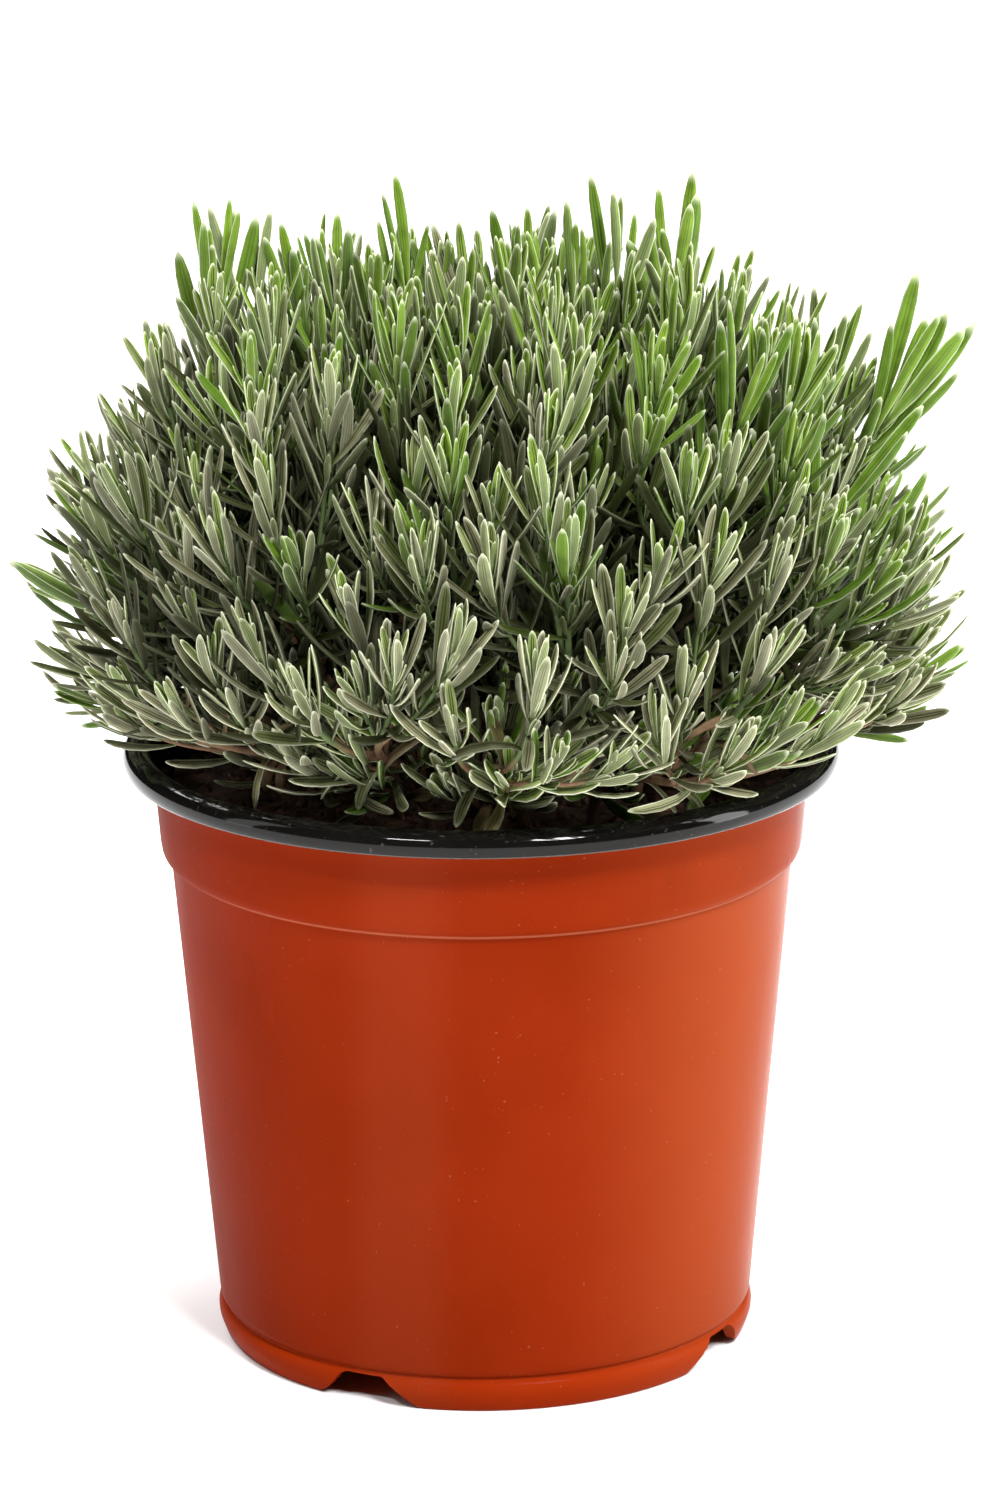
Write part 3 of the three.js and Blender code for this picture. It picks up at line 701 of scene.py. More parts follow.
# Shoots that stand out: place of the tip in millimetres, lean to the right and towards the back
# in degrees, leaf length and width as shares of a full-grown leaf, youngest pairs left out.
STANDING_OUT = [
    ((106, 6, 247), 27, 4, 1.90, 1.65, 2), ((91, -42, 234), 38, -8, 1.75, 1.45, 2),
    ((66, -44, 256), 22, -6, 1.80, 1.45, 2), ((80, -20, 248), 28, 2, 1.65, 1.40, 2),
    ((92, 22, 250), 14, 8, 1.40, 0.90, 2), ((103, -4, 214), 55, 0, 1.45, 1.05, 2),
    ((110, -2, 190), 55, 0, 1.35, 1.10, 2), ((112, 2, 177), 60, 0, 1.20, 1.10, 1),
    ((104, -10, 169), 78, 0, 1.00, 1.00, 1), ((-68, 14, 280), 0, 2, 1.60, 1.35, 2),
    ((-59, 20, 274), 3, 4, 1.35, 1.05, 2), ((-47, 24, 274), 2, 4, 1.30, 1.00, 2),
    ((-1, 26, 273), 0, 6, 1.30, 1.05, 2), ((-36, 30, 273), 2, 6, 1.30, 1.05, 2),
    ((-19, 30, 277), -2, 6, 1.50, 1.20, 2), ((12, 34, 276), 3, 8, 1.45, 1.15, 2),
    ((26, 20, 276), -2, 4, 1.30, 1.00, 2), ((37, 24, 277), 5, 4, 1.50, 1.10, 2),
    ((51, 22, 277), 3, 5, 1.45, 1.45, 2), ((65, 30, 265), 16, 5, 1.20, 0.90, 2),
    ((80, 20, 258), 24, 4, 1.35, 0.85, 2), ((-80, 6, 256), -14, 2, 1.15, 1.05, 2),
    ((-94, 0, 219), -58, 0, 1.35, 1.05, 2), ((-102, -6, 201), -78, 0, 1.30, 1.05, 2),
    ((-100, -10, 175), -76, -8, 1.20, 1.05, 1), ((-88, -26, 172), -50, -30, 1.00, 1.10, 1),
    ((4, -80, 186), -4, -26, 1.10, 1.15, 0), ((-47, -70, 190), -14, -20, 1.05, 1.15, 0),
    ((-72, -44, 178), -40, -24, 1.00, 1.10, 0), ((-34, -78, 186), -16, -24, 1.05, 1.15, 0),
    ((-46, -68, 176), -40, -24, 0.95, 1.10, 0), ((-30, -68, 173), -26, -34, 0.95, 1.15, 0),
    ((-8, -72, 170), -8, -44, 0.90, 1.10, 0), ((-14, -72, 192), 6, -22, 1.05, 1.15, 0),
    ((7, -90, 176), 0, -52, 0.90, 1.20, 2), ((17, -70, 171), 18, -42, 0.90, 1.15, 0),
    ((38, -64, 172), 26, -38, 0.95, 1.15, 0), ((23, -80, 188), 6, -26, 1.10, 1.20, 0),
    ((38, -76, 178), 30, -40, 0.95, 1.15, 0), ((60, -64, 182), 14, -20, 1.35, 1.40, 0),
    ((74, -40, 178), 30, -24, 1.10, 1.20, 0),
]
LOW_FRONT = 15  # the last of these stand at the front, low over the rim
# Single leaves on the bare stems: wanted place in millimetres, azimuth in degrees, length,
# spread at the root and at the tip in degrees, dryness.
HANGING = [
    ((-66, -38, 176), 215, 22, 75, 205, 0.0), ((-60, -44, 172), 250, 20, 70, 190, 0.25),
    ((-50, -48, 170), 235, 13, 70, 210, 1.0), ((-45, -55, 166), 260, 12, 80, 200, 0.9),
    ((-30, -64, 166), 200, 20, 85, 150, 0.1), ((-14, -68, 166), 230, 18, 80, 175, 0.0),
    ((-8, -66, 162), 320, 14, 60, 200, 0.9), ((2, -70, 165), 250, 20, 85, 140, 0.05),
    ((30, -66, 164), 300, 20, 80, 130, 0.1), ((44, -60, 166), 340, 22, 80, 165, 0.0),
    ((62, -46, 170), 300, 20, 80, 190, 0.6), ((74, -30, 172), 330, 22, 75, 160, 0.0),
    ((16, -60, 160), 270, 12, 60, 190, 1.0), ((-74, -20, 176), 200, 18, 80, 200, 0.5),
]
# Lower edge of the foliage, seen from the front and from 15.7 degrees above, as distances to the
# right and heights.
SKIRT_RIGHT = (-114, -101, -88, -74, -61, -40, -18, -11, -4, 6, 21, 52, 68, 79, 92, 105, 120)
SKIRT_HEIGHT = (167, 163, 159, 161, 163, 162, 160, 158, 154, 150, 147, 146, 148, 151, 157, 160, 163)
SKIRT_SLOPE = math.tan(math.radians(15.7))


class Leaves:
    """Gathers leaves, then lays one blade along each of them."""

    def __init__(self):
        self.rows = []

    def add(self, root, axis, outward, length, half_width, spread, curl, tone, youth, dry=0.0,
            twist=0.0, aside=0.0, lift=0.0, kind=0.5):
        self.rows.append((*root, *axis, *outward, length, half_width, spread, curl, tone, youth,
                          dry, twist, aside, lift, kind))

    def mesh(self):
        rows = np.array(self.rows)
        root, axis, outward = rows[:, 0:3], rows[:, 3:6], rows[:, 6:9]
        length, half_width, spread, curl = rows[:, 9], rows[:, 10], rows[:, 11], rows[:, 12]
        twist, aside, lift = rows[:, 16], rows[:, 17], rows[:, 18]
        side = np.cross(axis, outward)
        places = LEAF_STATIONS[:, 0]
        count, stations, corners = len(rows), len(places), len(LEAF_SECTION)
        points = np.zeros((count, stations, corners, 3))
        where = root.copy()
        before = 0.0
        for i, place in enumerate(places):
            angle = spread + (curl - spread) * place
            middle = spread + (curl - spread) * (place + before) / 2
            step = length * (place - before)
            ahead = np.cos(middle)[:, None] * axis + np.sin(middle)[:, None] * outward
            where = where + step[:, None] * ahead
            spine = where + (aside * length * place ** 2)[:, None] * side
            spine = spine + (lift * length * place ** 2)[:, None] * UP
            above = np.sin(angle)[:, None] * axis - np.cos(angle)[:, None] * outward
            turn = twist * min(1.0, 2.2 * place)
            across = np.cos(turn)[:, None] * side + np.sin(turn)[:, None] * above
            above = np.cos(turn)[:, None] * above - np.sin(turn)[:, None] * side
            width = (half_width * LEAF_STATIONS[i, 1])[:, None, None]
            depth = np.minimum(LEAF_STATIONS[i, 2] * LEAF_STATIONS[i, 1] + 0.15, 1.0)
            thick = (half_width * depth)[:, None, None]
            points[:, i] = (spine[:, None] + width * LEAF_SECTION[None, :, 0:1] * across[:, None]
                            + thick * LEAF_SECTION[None, :, 1:2] * above[:, None])
            before = place
        faces = self.faces(count, stations, corners)
        blade = np.zeros((count, stations, corners, 4), np.float32)
        blade[..., 0] = LEAF_SECTION[:, 2]
        blade[..., 1] = LEAF_SECTION[:, 3]
        blade[..., 2] = places[None, :, None]
        growth = np.zeros_like(blade)
        growth[...] = rows[:, [13, 14, 15, 19]][:, None, None, :]
        return points.reshape(-1, 3), faces, blade.reshape(-1, 4), growth.reshape(-1, 4)

    @staticmethod
    def faces(count, stations, corners):
        one = []
        for i in range(stations - 1):
            for k in range(corners):
                n = (k + 1) % corners
                a, b = i * corners, (i + 1) * corners
                one.append((a + k, b + k, b + n, a + n))
        size = stations * corners
        quads = (np.array(one)[None] + (np.arange(count) * size)[:, None, None]).reshape(-1, 4)
        caps = []
        for leaf in range(count):
            first, last = leaf * size, leaf * size + size - corners
            caps.append(list(range(first, first + corners)))
            caps.append(list(range(last + corners - 1, last - 1, -1)))
        return quads.tolist() + caps


def frame_round(heading, hint):
    """Two directions square to a heading, the first nearest to a hint."""
    first = hint - heading * float(hint @ heading)
    if np.linalg.norm(first) < 1e-6:
        first = np.cross(heading, np.array([1.0, 0.3, 0.1]))
    first /= np.linalg.norm(first)
    return first, np.cross(heading, first)


def tube(bow, radius_at, steps, sides, youth_at):
    """A closed tapering tube along a curve."""
    ts = bow.even(steps)
    points, growth, faces = [], [], []
    hint = np.array([0.31, 0.95, 0.0])
    for i, t in enumerate(ts):
        heading = bow.heading(t)
        hint, other = frame_round(heading, hint)
        centre = bow.at(t)
        share = i / (steps - 1)
        green = clamp((centre[2] - BROWN_BELOW) / GREENING)
        for k in range(sides):
            angle = 2 * math.pi * k / sides
            out = math.cos(angle) * hint + math.sin(angle) * other
            points.append(centre + radius_at(share) * out)
            growth.append((0.5, youth_at(share) * green, 0.0, 1.0))
    for i in range(steps - 1):
        for k in range(sides):
            n = (k + 1) % sides
            faces.append((i * sides + k, i * sides + n, (i + 1) * sides + n, (i + 1) * sides + k))
    faces.append(tuple(range(sides - 1, -1, -1)))
    faces.append(tuple((steps - 1) * sides + k for k in range(sides)))
    return points, faces, growth


def clear_of_pot(point, margin):
    radius = math.hypot(point[0], point[1])
    if radius < RIM_RADIUS - 13:
        return point[2] > SOIL_HEIGHT + 2.5
    if radius < RIM_RADIUS + margin:
        return point[2] > RIM_HEIGHT + margin
    return point[2] > LOWEST_LEAF


def above_skirt(point):
    return point[2] + SKIRT_SLOPE * point[1] > np.interp(point[0], SKIRT_RIGHT, SKIRT_HEIGHT)


def leaf_is_clear(root, axis, outward, length, spread, curl, lift, free):
    for share in (0.5, 0.75, 1.0):
        angle = spread + (curl - spread) * share / 2
        point = root + length * share * (math.cos(angle) * axis + math.sin(angle) * outward)
        point = point + UP * lift * length * share ** 2
        if not clear_of_pot(point, 1.6) or not (free or above_skirt(point)):
            return False
    return True


def leaf_up(leaves, bow, draw, youth_and_painted_light, full_length, full_width, vigour=1.0, long=1.0, wide=1.0,
            skipped=0, age=0.0, faces_front=False, free=False, lush=0.0):
    """Sets opposite pairs of leaves and small tufts in their axils along the end of a shoot."""
    length = bow.length()
    phase = math.radians(50) if faces_front else draw.uniform(0, math.pi)
    tip = bow.at(1.0)
    kind = 0.62 * draw.random() + 0.38 * clamp(0.5 + tip[0] / 260 + (tip[2] - 258) / 110)
    kind = 0.5 + 1.7 * (kind - 0.5) + lush
    age += age_at(tip)
    hint = np.array([math.cos(phase), math.sin(phase), 0.2])
    slim = draw.uniform(0.88, 1.12)
    upright = 0.52 if faces_front else 1.0
    gaps = 0.4 if wide > 1.38 else 0.15
    start = LEAF_PAIRS[skipped][0] - LEAF_PAIRS[0][0]
    for level, (back, long_here, wide_here, spread, curl) in enumerate(LEAF_PAIRS):
        if level < skipped:
            continue
        back = (back - start) * draw.uniform(0.9, 1.1) * vigour
        if back > length - 12:
            break
        t = bow.back(back)
        axis = bow.heading(t)
        first, other = frame_round(axis, hint)
        turn = (level - skipped) * math.pi / 2 + draw.uniform(-0.22, 0.22)
        # Youth is partly young growth and partly painted light, which turns shoots high up and to
        # the right brighter yellow-green.
        youth = max(0.0, 1 - level / 5.0) * 0.6 + youth_and_painted_light
        for half in (0, math.pi):
            angle = turn + half + draw.uniform(-0.12, 0.12)
            outward = math.cos(angle) * first + math.sin(angle) * other
            size = full_length * long * long_here * vigour * draw.uniform(0.82, 1.14)
            width_here = full_width / 2 * wide * wide_here * slim * draw.uniform(0.88, 1.12)
            if faces_front and draw.random() < gaps:
                continue
            if faces_front and draw.random() < 0.6:
                size *= draw.uniform(0.6, 0.95)
                width_here *= 0.62
            open_ = math.radians(spread * upright + draw.uniform(-5, 7))
            shut = math.radians(curl * upright + draw.uniform(-16, 20) * upright)
            lift = 0.10 + 0.12 * max(0.0, -outward[2])
            root = bow.at(t) + outward * 0.5
            bare = root[2] < BARE_BELOW and root[1] < BARE_FRONT and not free
            if bare and draw.random() < BARE_CHANCE:
                continue
            if not leaf_is_clear(root, axis, outward, size, open_, shut, lift, free):
                continue
            # Painted shade, partly age: the tone falls for leaves further down a shoot and on
            # shoots given painted shade, so leaves deep inside the bush turn near black; shoots
            # given less of it are painted lighter.
            tone = 1.0 - age - 0.115 * level + draw.uniform(-0.15, 0.15)
            if level > 5 and root[2] < ROLLED_BELOW and draw.random() < ROLLED_CHANCE:
                shut += draw.uniform(0.9, 1.9)
            twist = draw.uniform(-0.5, 0.5)
            if faces_front:
                way = math.degrees(math.atan2(outward[1], outward[0]))
                twist = math.radians(-way % 180 - 90) * draw.uniform(0.75, 1.0)
            dry = 0.0
            if level > 5 and root[2] < DRY_BELOW and draw.random() < DRY_CHANCE:
                dry = draw.uniform(0.4, 1.0)
                shut += draw.uniform(0.6, 1.4)
                size *= 0.75
            leaves.add(root, axis, outward, size, width_here, open_, shut, clamp(tone),
                       clamp(youth + draw.uniform(-0.2, 0.2)), dry, twist,
                       aside=draw.uniform(-0.15, 0.15), lift=lift,
                       kind=clamp(kind + draw.uniform(-0.35, 0.3)))
            if 3 <= level <= 7 and draw.random() < TUFT_CHANCE:
                for _ in range(2):
                    lean = angle + draw.uniform(-0.7, 0.7)
                    out = math.cos(lean) * first + math.sin(lean) * other
                    leaves.add(root + axis * 0.8, axis, out,
                               full_length * draw.uniform(0.26, 0.5),
                               full_width / 2 * draw.uniform(0.5, 0.7),
                               math.radians(draw.uniform(14, 32)),
                               math.radians(draw.uniform(4, 20)), clamp(tone + 0.08),
                               clamp(0.3 + youth_and_painted_light + draw.uniform(-0.1, 0.2)), lift=0.1, kind=kind)


def age_at(point):
    """Painted shade and light by place: shoots in the middle of the left side are painted darker
    and duller, shoots low at the front lighter.
    """
    left = clamp((-15 - point[0]) / 55) * max(0.0, 1 - abs(point[2] - 214) / 40)
    low = clamp((-45 - point[1]) / 40) * clamp((205 - point[2]) / 20)
    return 0.34 * left - 0.18 * low


# ---- The bush's plan ----

def nearest_wood(stems, place, kinds=("trunk", "branch"), steps=15):
    """The stem, its curve and the parameter on it that come nearest to a place."""
    _, n, which, t = min((np.linalg.norm(stem[which].at(t) - place), n, which, t)
                         for n, stem in enumerate(stems) for which in kinds
                         for t in np.linspace(0.04, 0.6, steps))
    return stems[n], stems[n][which], t


def bush_plan(shoots):
    """For each main stem: its own two curves and the extra shoots that branch from them."""
    draw = random.Random(20)
    stems = []
    taken = []
    for index in range(STEMS):
        foot, tips = main_stem(index)
        trunk = trunk_bow(foot, *tips[0])
        branch = branch_bow(trunk, FORK, *tips[1])
        stems.append({"trunk": trunk, "branch": branch, "extra": [], "hanging": [],
                      "tips": [tips[0][0], tips[1][0]]})
        taken += [tips[0][0], tips[1][0]]

    def grow(end, along, **leafing):
        taken.append(end)
        place = draw.random()
        if end[2] < SHORT_BELOW:
            wanted = end - along * BRANCH_BACK - UP * BRANCH_DOWN
            stem, parent, share = nearest_wood(stems, wanted)
        else:
            stem = min(stems, key=lambda s: min(np.linalg.norm(end - tip) for tip in s["tips"]))
            parent = min((stem["trunk"], stem["branch"]),
                         key=lambda bow: np.linalg.norm(bow.at(0.8) - end))
            low, high = (0.3, 0.55) if parent is stem["trunk"] else (0.08, 0.35)
            share = low + (high - low) * place
        stem["extra"].append((branch_bow(parent, share, end, along), leafing))

    for place, *leaf in HANGING:
        stem, trunk, t = nearest_wood(stems, np.array(place, float), ("trunk",), 29)
        stem["hanging"].append((trunk.at(t), *leaf))
    # Shoots that stand out get less painted shade, so they are painted lighter.
    for number, (place, right, back, long, wide, skipped) in enumerate(STANDING_OUT):
        along = np.array([math.tan(math.radians(right)), math.tan(math.radians(back)), 1.0])
        low = number >= len(STANDING_OUT) - LOW_FRONT
        grow(np.array(place, float), along / np.linalg.norm(along), long=long, wide=wide,
             skipped=skipped, faces_front=not low, free=low, lush=1.0 if wide > 1.3 else 0.3,
             age=-0.25)
    for j in range(shoots):
        share = (j + 0.5) / shoots
        azimuth = 1.1 + j * GOLDEN_ANGLE + draw.uniform(-0.04, 0.04)
        tilt = min(tilt_at(share) + draw.uniform(-0.03, 0.03), LOWEST_TIP)
        front = max(0.0, -math.sin(azimuth))
        if tilt > LOWEST_TIP - math.radians(9) * front:
            continue
        along = shoot_direction(max(tilt, 0.0), azimuth)
        along = along + np.array([draw.gauss(0, 0.10), draw.gauss(0, 0.10), draw.gauss(0, 0.06)])
        along /= np.linalg.norm(along)
        recess = draw.uniform(-6, 24 if tilt < math.radians(60) else 14)
        end = lifted(grown_point(max(tilt, 0.0), azimuth) - (TIP_INSET + recess) * along)
        if min(np.linalg.norm(end - other) for other in taken) < NEAREST_TIPS:
            continue
        crown = tilt < CROWN_TILT and draw.random() < CROWN_CHANCE
        grow(end, along, vigour=draw.uniform(0.86, 1.1), skipped=2 if crown else 0)
    # Rear shoots low inside the rim get painted shade, partly for age, and so are painted darker.
    for j in range(REAR_SHOOTS):
        azimuth = math.pi * (j + 0.5) / REAR_SHOOTS
        ring = REAR_RINGS[j % 3]
        height = REAR_HEIGHT + draw.uniform(-7, 9)
        end = np.array([ring * math.cos(azimuth), ring * math.sin(azimuth), height])
        grow(end, shoot_direction(math.radians(88), azimuth), long=1.15, skipped=1, age=0.45)
    # Inner shoots in the bush's shade get painted shade, partly for age, and so are painted darker.
    for j in range(INNER_SHOOTS):
        azimuth = 0.6 + j * GOLDEN_ANGLE
        tilt = tilt_at((j + 0.5) / INNER_SHOOTS)
        middle = UP * INNER_MIDDLE
        end = middle + (outline_point(tilt, azimuth) - middle) * draw.uniform(0.45, 0.72)
        if math.hypot(end[0], end[1]) < 12 or end[2] < (172 if end[1] > 0 else 178):
            continue
        grow(end, shoot_direction(tilt, azimuth), long=1.1, skipped=1, age=0.45)
    return stems


def youth_and_painted_light_at(point):
    """How bright and yellow-green the shoots are: most near the crown and to the right, partly for
    young growth and partly as painted light from above and from the right.
    """
    high = clamp((point[2] - 215) / 70)
    return 0.36 * high + 0.12 * clamp(point[0] / 125)


# ---- Operators ----

class LAVENDER_OT_pot_wall(bpy.types.Operator):
    """Make the terracotta-coloured outer layer with its collar, base and feet"""
    bl_idname = "lavender.pot_wall"
    bl_label = "Pot wall"

    def execute(self, context):
        pot = settings().pot
        inner = offset_line(WALL_FACE, SHEET)
        skirt = [(68.4, 0.5), (68.9, 0.1), (69.6, 0.0), (70.1, 0.15), (70.7, 0.9), (71.5, 3.0),
                 (72.05, 4.6), (72.2, 6.2), (71.95, 7.4), (71.4, 8.2), (70.7, 8.7)]
        profile = [(0.02, BASE_HEIGHT), (68.6, BASE_HEIGHT), *skirt, *WALL_FACE,
                   *[tuple(p) for p in inner[3:][::-1]], (inner[3][0] - 0.7, BASE_HEIGHT + SHEET),
                   (0.02, BASE_HEIGHT + SHEET)]
        wall = lathe("pot_wall_shell", profile, pot.sides)
        cut(wall, [notch_cutter(degrees) for degrees in NOTCHES])
        cut(wall, drain_drills())
        smooth(wall, 40)
        set_material(wall, terracotta_finish(pot))
        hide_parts("pot_wall")
        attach(wall, "root")
        return {"FINISHED"}


class LAVENDER_OT_pot_lining(bpy.types.Operator):
    """Make the black lining that rolls over as the rim"""
    bl_idname = "lavender.pot_lining"
    bl_label = "Pot lining"

    def execute(self, context):
        pot = settings().pot
        outer = offset_line(WALL_FACE, SHEET + GAP)[3:]
        inner = offset_line(WALL_FACE, 2 * SHEET + GAP)[3:]
        floor = BASE_HEIGHT + SHEET + GAP
        lip = pot.lip_turn / MM
        roll = [(91.2, 161.2), (92.2, 160.9), (92.9, 160.0), (93.25, 158.6), (93.4, lip),
                (93.75, lip - 0.25), (94.25, lip - 0.2), (94.6, lip + 0.2), (94.9, 159.2),
                (95.0, 160.4), (94.75, 161.5), (94.2, 162.5), (93.4, 163.25), (92.4, 163.75),
                (91.3, 164.0), (90.2, 163.95), (89.0, 163.5), (88.1, 162.8), (87.4, 161.8)]
        profile = [(0.02, floor), (outer[0][0] - 0.9, floor), *[tuple(p) for p in outer], *roll,
                   *[tuple(p) for p in inner[:-1][::-1]], (inner[0][0] - 0.6, floor + SHEET),
                   (0.02, floor + SHEET)]
        lining = lathe("pot_lining_shell", profile, pot.sides)
        cut(lining, drain_drills())
        smooth(lining, 50)
        set_material(lining, black_finish(pot))
        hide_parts("pot_lining")
        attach(lining, "root")
        return {"FINISHED"}


def soil_height(x, y):
    waves = math.sin(x / 9.1 + 1.3) * math.cos(y / 7.7) + 0.5 * math.sin((x + 1.7 * y) / 4.9)
    fine = math.sin(x / 2.3 + 0.7) * math.sin(y / 2.1 + 1.9) * 0.4
    return SOIL_HEIGHT + 1.6 * waves + fine


class LAVENDER_OT_soil(bpy.types.Operator):
    """Make the potting soil with its crumbly top"""
    bl_idname = "lavender.soil"
    bl_label = "Potting soil"

    def execute(self, context):
        soil = settings().soil
        inner = offset_line(WALL_FACE, 2 * SHEET + GAP + 0.5)[3:]
        side = [tuple(p) for p in inner if p[1] < SOIL_HEIGHT - 3]
        top_radius = side[-1][0] + 0.2
        floor = BASE_HEIGHT + 2 * SHEET + 2 * GAP
        rings = [top_radius * (1 - i / SOIL_RINGS) for i in range(1, SOIL_RINGS)]
        profile = [(0.02, floor), (side[0][0] - 1.4, floor), *side, (top_radius, SOIL_HEIGHT - 1),
                   *[(r, SOIL_HEIGHT) for r in rings], (0.02, SOIL_HEIGHT)]
        body = lathe("potting_soil_body", profile, 160)
        for vertex in body.data.vertices:
            if vertex.co.z > (SOIL_HEIGHT - 1.5) * MM:
                vertex.co.z = soil_height(vertex.co.x / MM, vertex.co.y / MM) * MM
        smooth(body, 60)
        set_material(body, soil_finish(soil))
        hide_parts("potting_soil")
        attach(body, "root")
        self.crumbs(soil, top_radius)
        return {"FINISHED"}

    def crumbs(self, soil, top_radius):
        """Loose crumbs, bits of bark and a few pale grains, all from one lump."""
        nothing_selected()
        bpy.ops.mesh.primitive_ico_sphere_add(subdivisions=1, radius=1)
        lump = bpy.context.object
        shape = np.array([v.co[:] for v in lump.data.vertices])
        sides = [list(p.vertices) for p in lump.data.polygons]
        bpy.data.objects.remove(lump, do_unlink=True)
        draw = np.random.default_rng(7)
        points, faces, marks = [], [], []
        for _ in range(soil.crumbs):
            radius = (top_radius - 2.5) * math.sqrt(draw.random())
            angle = draw.uniform(0, 2 * math.pi)
            x, y = radius * math.cos(angle), radius * math.sin(angle)
            size = 0.45 + 1.5 * draw.random() ** 3
            bark = draw.random() < BARK_CHANCE
            if bark:
                scale = np.array([size * draw.uniform(1.5, 3.2), size * 0.8, size * 0.45])
            else:
                scale = size * draw.uniform(0.7, 1.3, 3)
            turn = Matrix.Rotation(draw.uniform(0, 2 * math.pi), 3, "Z") @ Matrix.Rotation(
                draw.uniform(-0.5, 0.5), 3, "X")
            rough = shape * (1 + draw.uniform(-0.28, 0.28, (len(shape), 1))) * scale
            placed = rough @ np.array(turn).T + [x, y, soil_height(x, y) + scale[2] * 0.35]
            first = len(points)
            points.extend(placed)
            faces.extend([[first + i for i in side] for side in sides])
            kind = 0.88 + 0.05 * draw.random() if bark else draw.random() * 0.85
            if not bark and draw.random() < GRAIN_CHANCE and size < 1.2:
                kind = 1.0
            marks.extend([(kind, draw.random(), 0, 1)] * len(shape))
        piece = mesh_piece("soil_crumbs", points, faces)
        colours = piece.data.color_attributes.new("crumb", "FLOAT_COLOR", "POINT")
        colours.data.foreach_set("color", np.array(marks, np.float32).ravel())
        set_material(piece, crumb_finish(soil))
        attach(piece, "root")


class LAVENDER_OT_leafy_stems(bpy.types.Operator):
    """Make the leafy stems, each with all the shoots that branch from it"""
    bl_idname = "lavender.leafy_stems"
    bl_label = "Leafy stems"

    def execute(self, context):
        foliage = settings().foliage
        materials = (leaf_finish(foliage), stem_finish(foliage))
        for index, stem in enumerate(bush_plan(foliage.shoots)):
            self.leafy_stem(index, stem, foliage, materials)
        return {"FINISHED"}

    def leafy_stem(self, index, stem, foliage, materials):
        draw = random.Random(1000 + index)
        leaves = Leaves()
        length, width = foliage.leaf_length / MM, foliage.leaf_width / MM
        youth_and_painted_light = youth_and_painted_light_at(stem["trunk"].at(1.0))
        leaf_up(leaves, stem["trunk"], draw, youth_and_painted_light, length, width)
        leaf_up(leaves, stem["branch"], draw, youth_and_painted_light, length, width, vigour=0.97)
        shoots = []
        for bow, leafing in stem["extra"]:
            before = len(leaves.rows)
            youth_and_painted_light = youth_and_painted_light_at(bow.at(1.0)) + draw.uniform(-0.12, 0.12)
            leaf_up(leaves, bow, draw, youth_and_painted_light, length, width, **leafing)
            if len(leaves.rows) - before < FEWEST_LEAVES:
                del leaves.rows[before:]
            else:
                shoots.append(bow)
        for root, azimuth, long, spread, curl, dry in stem["hanging"]:
            out = np.array([math.cos(math.radians(azimuth)), math.sin(math.radians(azimuth)), 0.0])
            leaves.add(root + out, UP, out, long, width / 2 * 1.1, math.radians(spread),
                       math.radians(curl), 0.8, 0.2, dry, twist=draw.uniform(-0.8, 0.8), kind=0.2)
        points, faces, blade, growth = leaves.mesh()
        points, growth = list(points), list(growth)
        leaf_faces = len(faces)
        foot = stem["trunk"].at(0)
        sunk = Bow(*(foot - UP * HOLE_DEPTH * share for share in (1, 0.66, 0.3)), foot + UP)
        tubes = [
            tube(sunk, lambda s: 1.7, 3, 8, lambda s: 0.0),
            tube(stem["trunk"], lambda s: 1.7 - 1.05 * s, 22, 8, lambda s: s * 1.1 - 0.2),
            tube(stem["branch"], lambda s: 1.2 - 0.55 * s, 16, 6, lambda s: 0.15 + s),
        ]
        for bow in shoots:
            tubes.append(tube(bow, lambda s: 0.85 - 0.35 * s, 14, 5, lambda s: 0.1 + s * 1.1))
        for more, sides, marks in tubes:
            first = len(points)
            points.extend(more)
            faces.extend([[first + i for i in side] for side in sides])
            growth.extend(marks)
        piece = mesh_piece(f"leafy_stem_{index + 1:02d}_full", points, faces)
        mesh = piece.data
        padded = np.zeros((len(points), 4), np.float32)
        padded[:len(blade)] = blade
        for name, values in (("blade", padded), ("growth", np.array(growth, np.float32))):
            colours = mesh.color_attributes.new(name, "FLOAT_COLOR", "POINT")
            colours.data.foreach_set("color", values.ravel())
        which = np.zeros(len(mesh.polygons), np.int32)
        which[leaf_faces:] = 1
        set_material(piece, *materials)
        mesh.polygons.foreach_set("material_index", which)
        mesh.polygons.foreach_set("use_smooth", np.ones(len(mesh.polygons), bool))
        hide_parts(f"leafy_stem_{index + 1:02d}")
        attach(piece, "root")


def sun(name, energy, angle, direction):
    light = bpy.data.lights.new(name, "SUN")
    light.energy, light.angle = energy, math.radians(angle)
    lamp = bpy.data.objects.new(name, light)
    lamp.rotation_euler = Vector(direction).to_track_quat("-Z", "Y").to_euler()
    bpy.context.collection.objects.link(lamp)


def softbox(name, place, aim, width, height, energy):
    light = bpy.data.lights.new(name, "AREA")
    light.shape, light.size, light.size_y, light.energy = "RECTANGLE", width, height, energy
    lamp = bpy.data.objects.new(name, light)
    lamp.location = place
    lamp.rotation_euler = (Vector(aim) - Vector(place)).to_track_quat("-Z", "Y").to_euler()
    bpy.context.collection.objects.link(lamp)


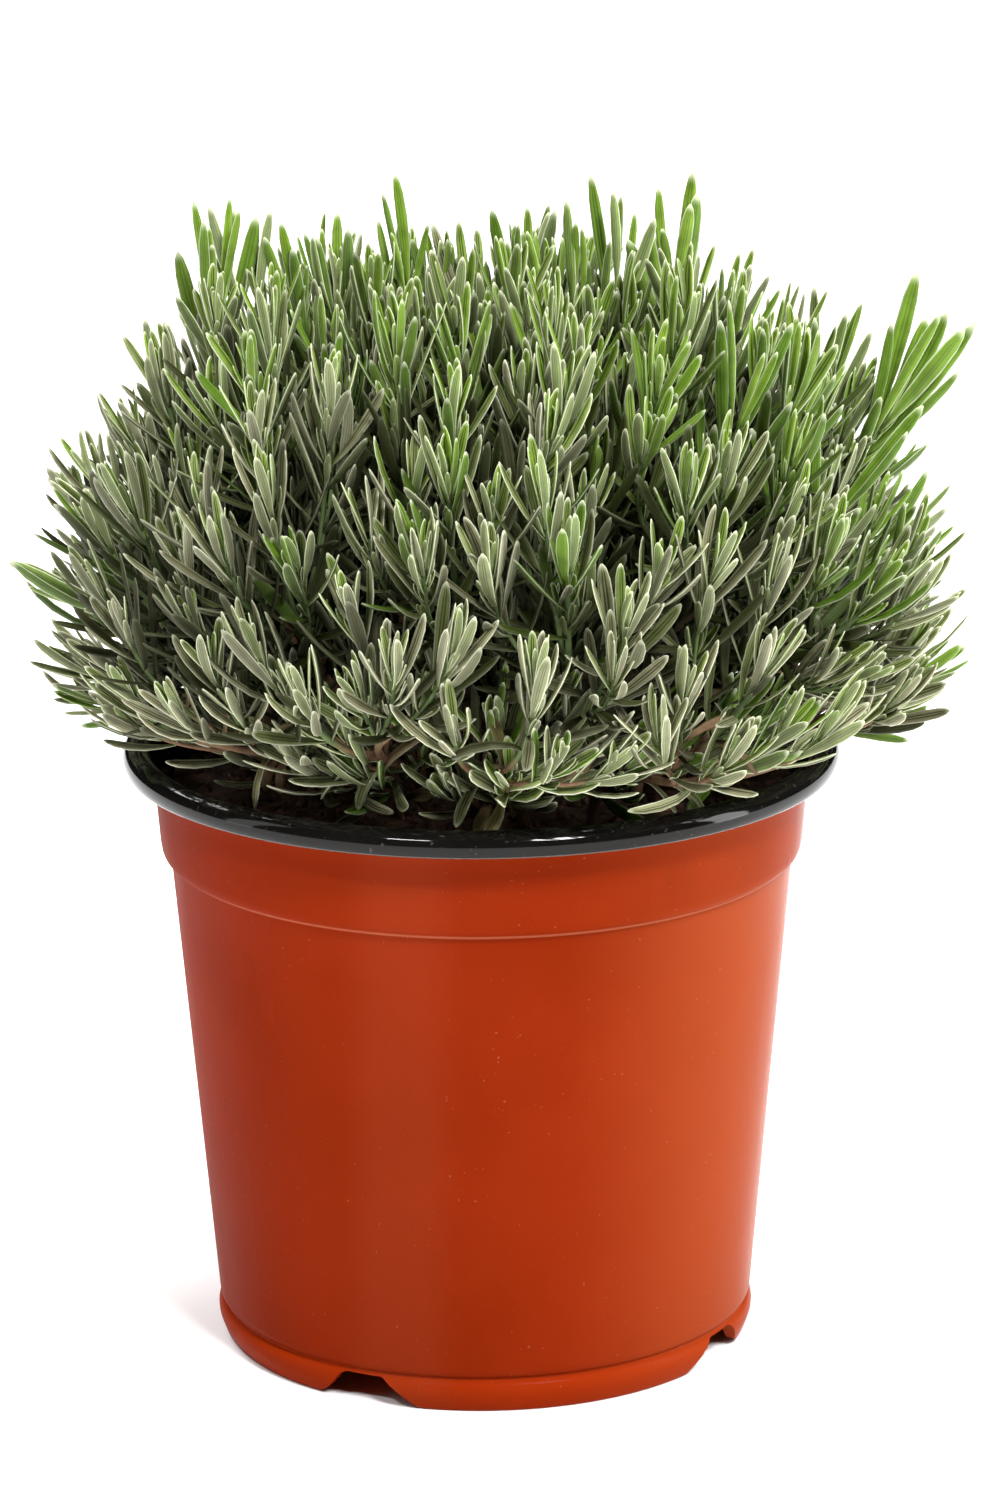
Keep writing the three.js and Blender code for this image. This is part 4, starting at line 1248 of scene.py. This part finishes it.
class LAVENDER_OT_studio(bpy.types.Operator):
    """Make the pale floor, the soft light and the camera"""
    bl_idname = "lavender.studio"
    bl_label = "Studio"

    def execute(self, context):
        studio = settings().studio
        self.floor(studio)
        self.surroundings()
        sun("key_light", 4.0, 14, (-0.37, 0.64, -0.81))
        sun("top_light", 3.25, 24, (-0.05, -0.22, -0.97))
        softbox("left_strip", (-1.5, -0.3, 0.6), (0, 0, 0.1), 0.3, 1.6, 4)
        softbox("right_strip", (1.5, -0.2, 0.6), (0, 0, 0.1), 0.4, 1.6, 20)
        sun("back_light", 2.2, 30, (0.45, -0.55, -0.75))
        softbox("rim_window", (-0.42, -0.82, 1.15), (0, 0, 0.16), 0.26, 0.04, 6.0)
        self.camera(studio)
        context.scene.view_settings.view_transform = "Standard"
        return {"FINISHED"}

    def floor(self, studio):
        nothing_selected()
        bpy.ops.mesh.primitive_plane_add(size=studio.floor, location=(0, 0, 0))
        floor = in_place(bpy.context.object)
        floor.name = floor.data.name = "studio_floor"
        f = Finish("pale_floor", Roughness=0.8, Specular_IOR_Level=0.1)
        tone = f.mix(f.noise(3, 2), (0.87, 0.87, 0.87), (0.89, 0.89, 0.89))
        set_material(floor, f.into(Base_Color=tone))

    def surroundings(self):
        """Light grey room, brighter behind the plant than on the viewer's side."""
        world = bpy.data.worlds.new("studio_surroundings")
        bpy.context.scene.world = world
        world.use_nodes = True
        nodes, links = world.node_tree.nodes, world.node_tree.links
        way = nodes.new("ShaderNodeTexCoord")
        parts = nodes.new("ShaderNodeSeparateXYZ")
        ramp = nodes.new("ShaderNodeMapRange")
        ramp.interpolation_type = "SMOOTHSTEP"
        links.new(way.outputs["Generated"], parts.inputs[0])
        links.new(parts.outputs["Y"], ramp.inputs["Value"])
        ramp.inputs["From Min"].default_value = -0.7
        ramp.inputs["From Max"].default_value = 0.5
        ramp.inputs["To Min"].default_value = 0.12
        ramp.inputs["To Max"].default_value = 0.30
        links.new(ramp.outputs[0], nodes["Background"].inputs["Strength"])

    def camera(self, studio):
        data = bpy.data.cameras.new("photo_camera")
        data.lens = studio.lens
        data.sensor_width = 36
        data.clip_end = 100
        camera = bpy.data.objects.new("photo_camera", data)
        place, aim = Vector(CAMERA_PLACE), Vector(CAMERA_AIM)
        camera.location = place
        turn = (aim - place).to_track_quat("-Z", "Y").to_matrix()
        camera.rotation_euler = (turn @ Matrix.Rotation(CAMERA_ROLL, 3, "Z")).to_euler()
        bpy.context.collection.objects.link(camera)
        bpy.context.scene.camera = camera


class LAVENDER_PT_panel(bpy.types.Panel):
    """Lists the lavender's settings and the steps that make it"""
    bl_idname = "LAVENDER_PT_panel"
    bl_label = "Potted lavender"
    bl_space_type = "VIEW_3D"
    bl_region_type = "UI"
    bl_category = "Lavender"

    def draw(self, context):
        groups = settings()
        for group, steps in (("pot", ("pot_wall", "pot_lining")), ("soil", ("soil",)),
                             ("foliage", ("leafy_stems",)), ("studio", ("studio",))):
            box = self.layout.box()
            values = getattr(groups, group)
            for name in values.__annotations__:
                box.prop(values, name)
            for step in steps:
                box.operator("lavender." + step)


CLASSES = (PotSettings, SoilSettings, FoliageSettings, StudioSettings, LavenderSettings,
           LAVENDER_OT_pot_wall, LAVENDER_OT_pot_lining, LAVENDER_OT_soil, LAVENDER_OT_leafy_stems,
           LAVENDER_OT_studio, LAVENDER_PT_panel)


def register():
    for kind in CLASSES:
        bpy.utils.register_class(kind)
    bpy.types.Scene.lavender = bpy.props.PointerProperty(type=LavenderSettings)


def unregister():
    del bpy.types.Scene.lavender
    for kind in reversed(CLASSES):
        bpy.utils.unregister_class(kind)


def main():
    register()
    bpy.ops.lavender.pot_wall()
    bpy.ops.lavender.pot_lining()
    bpy.ops.lavender.soil()
    bpy.ops.lavender.leafy_stems()
    bpy.ops.lavender.studio()


if __name__ == "__main__":
    main()
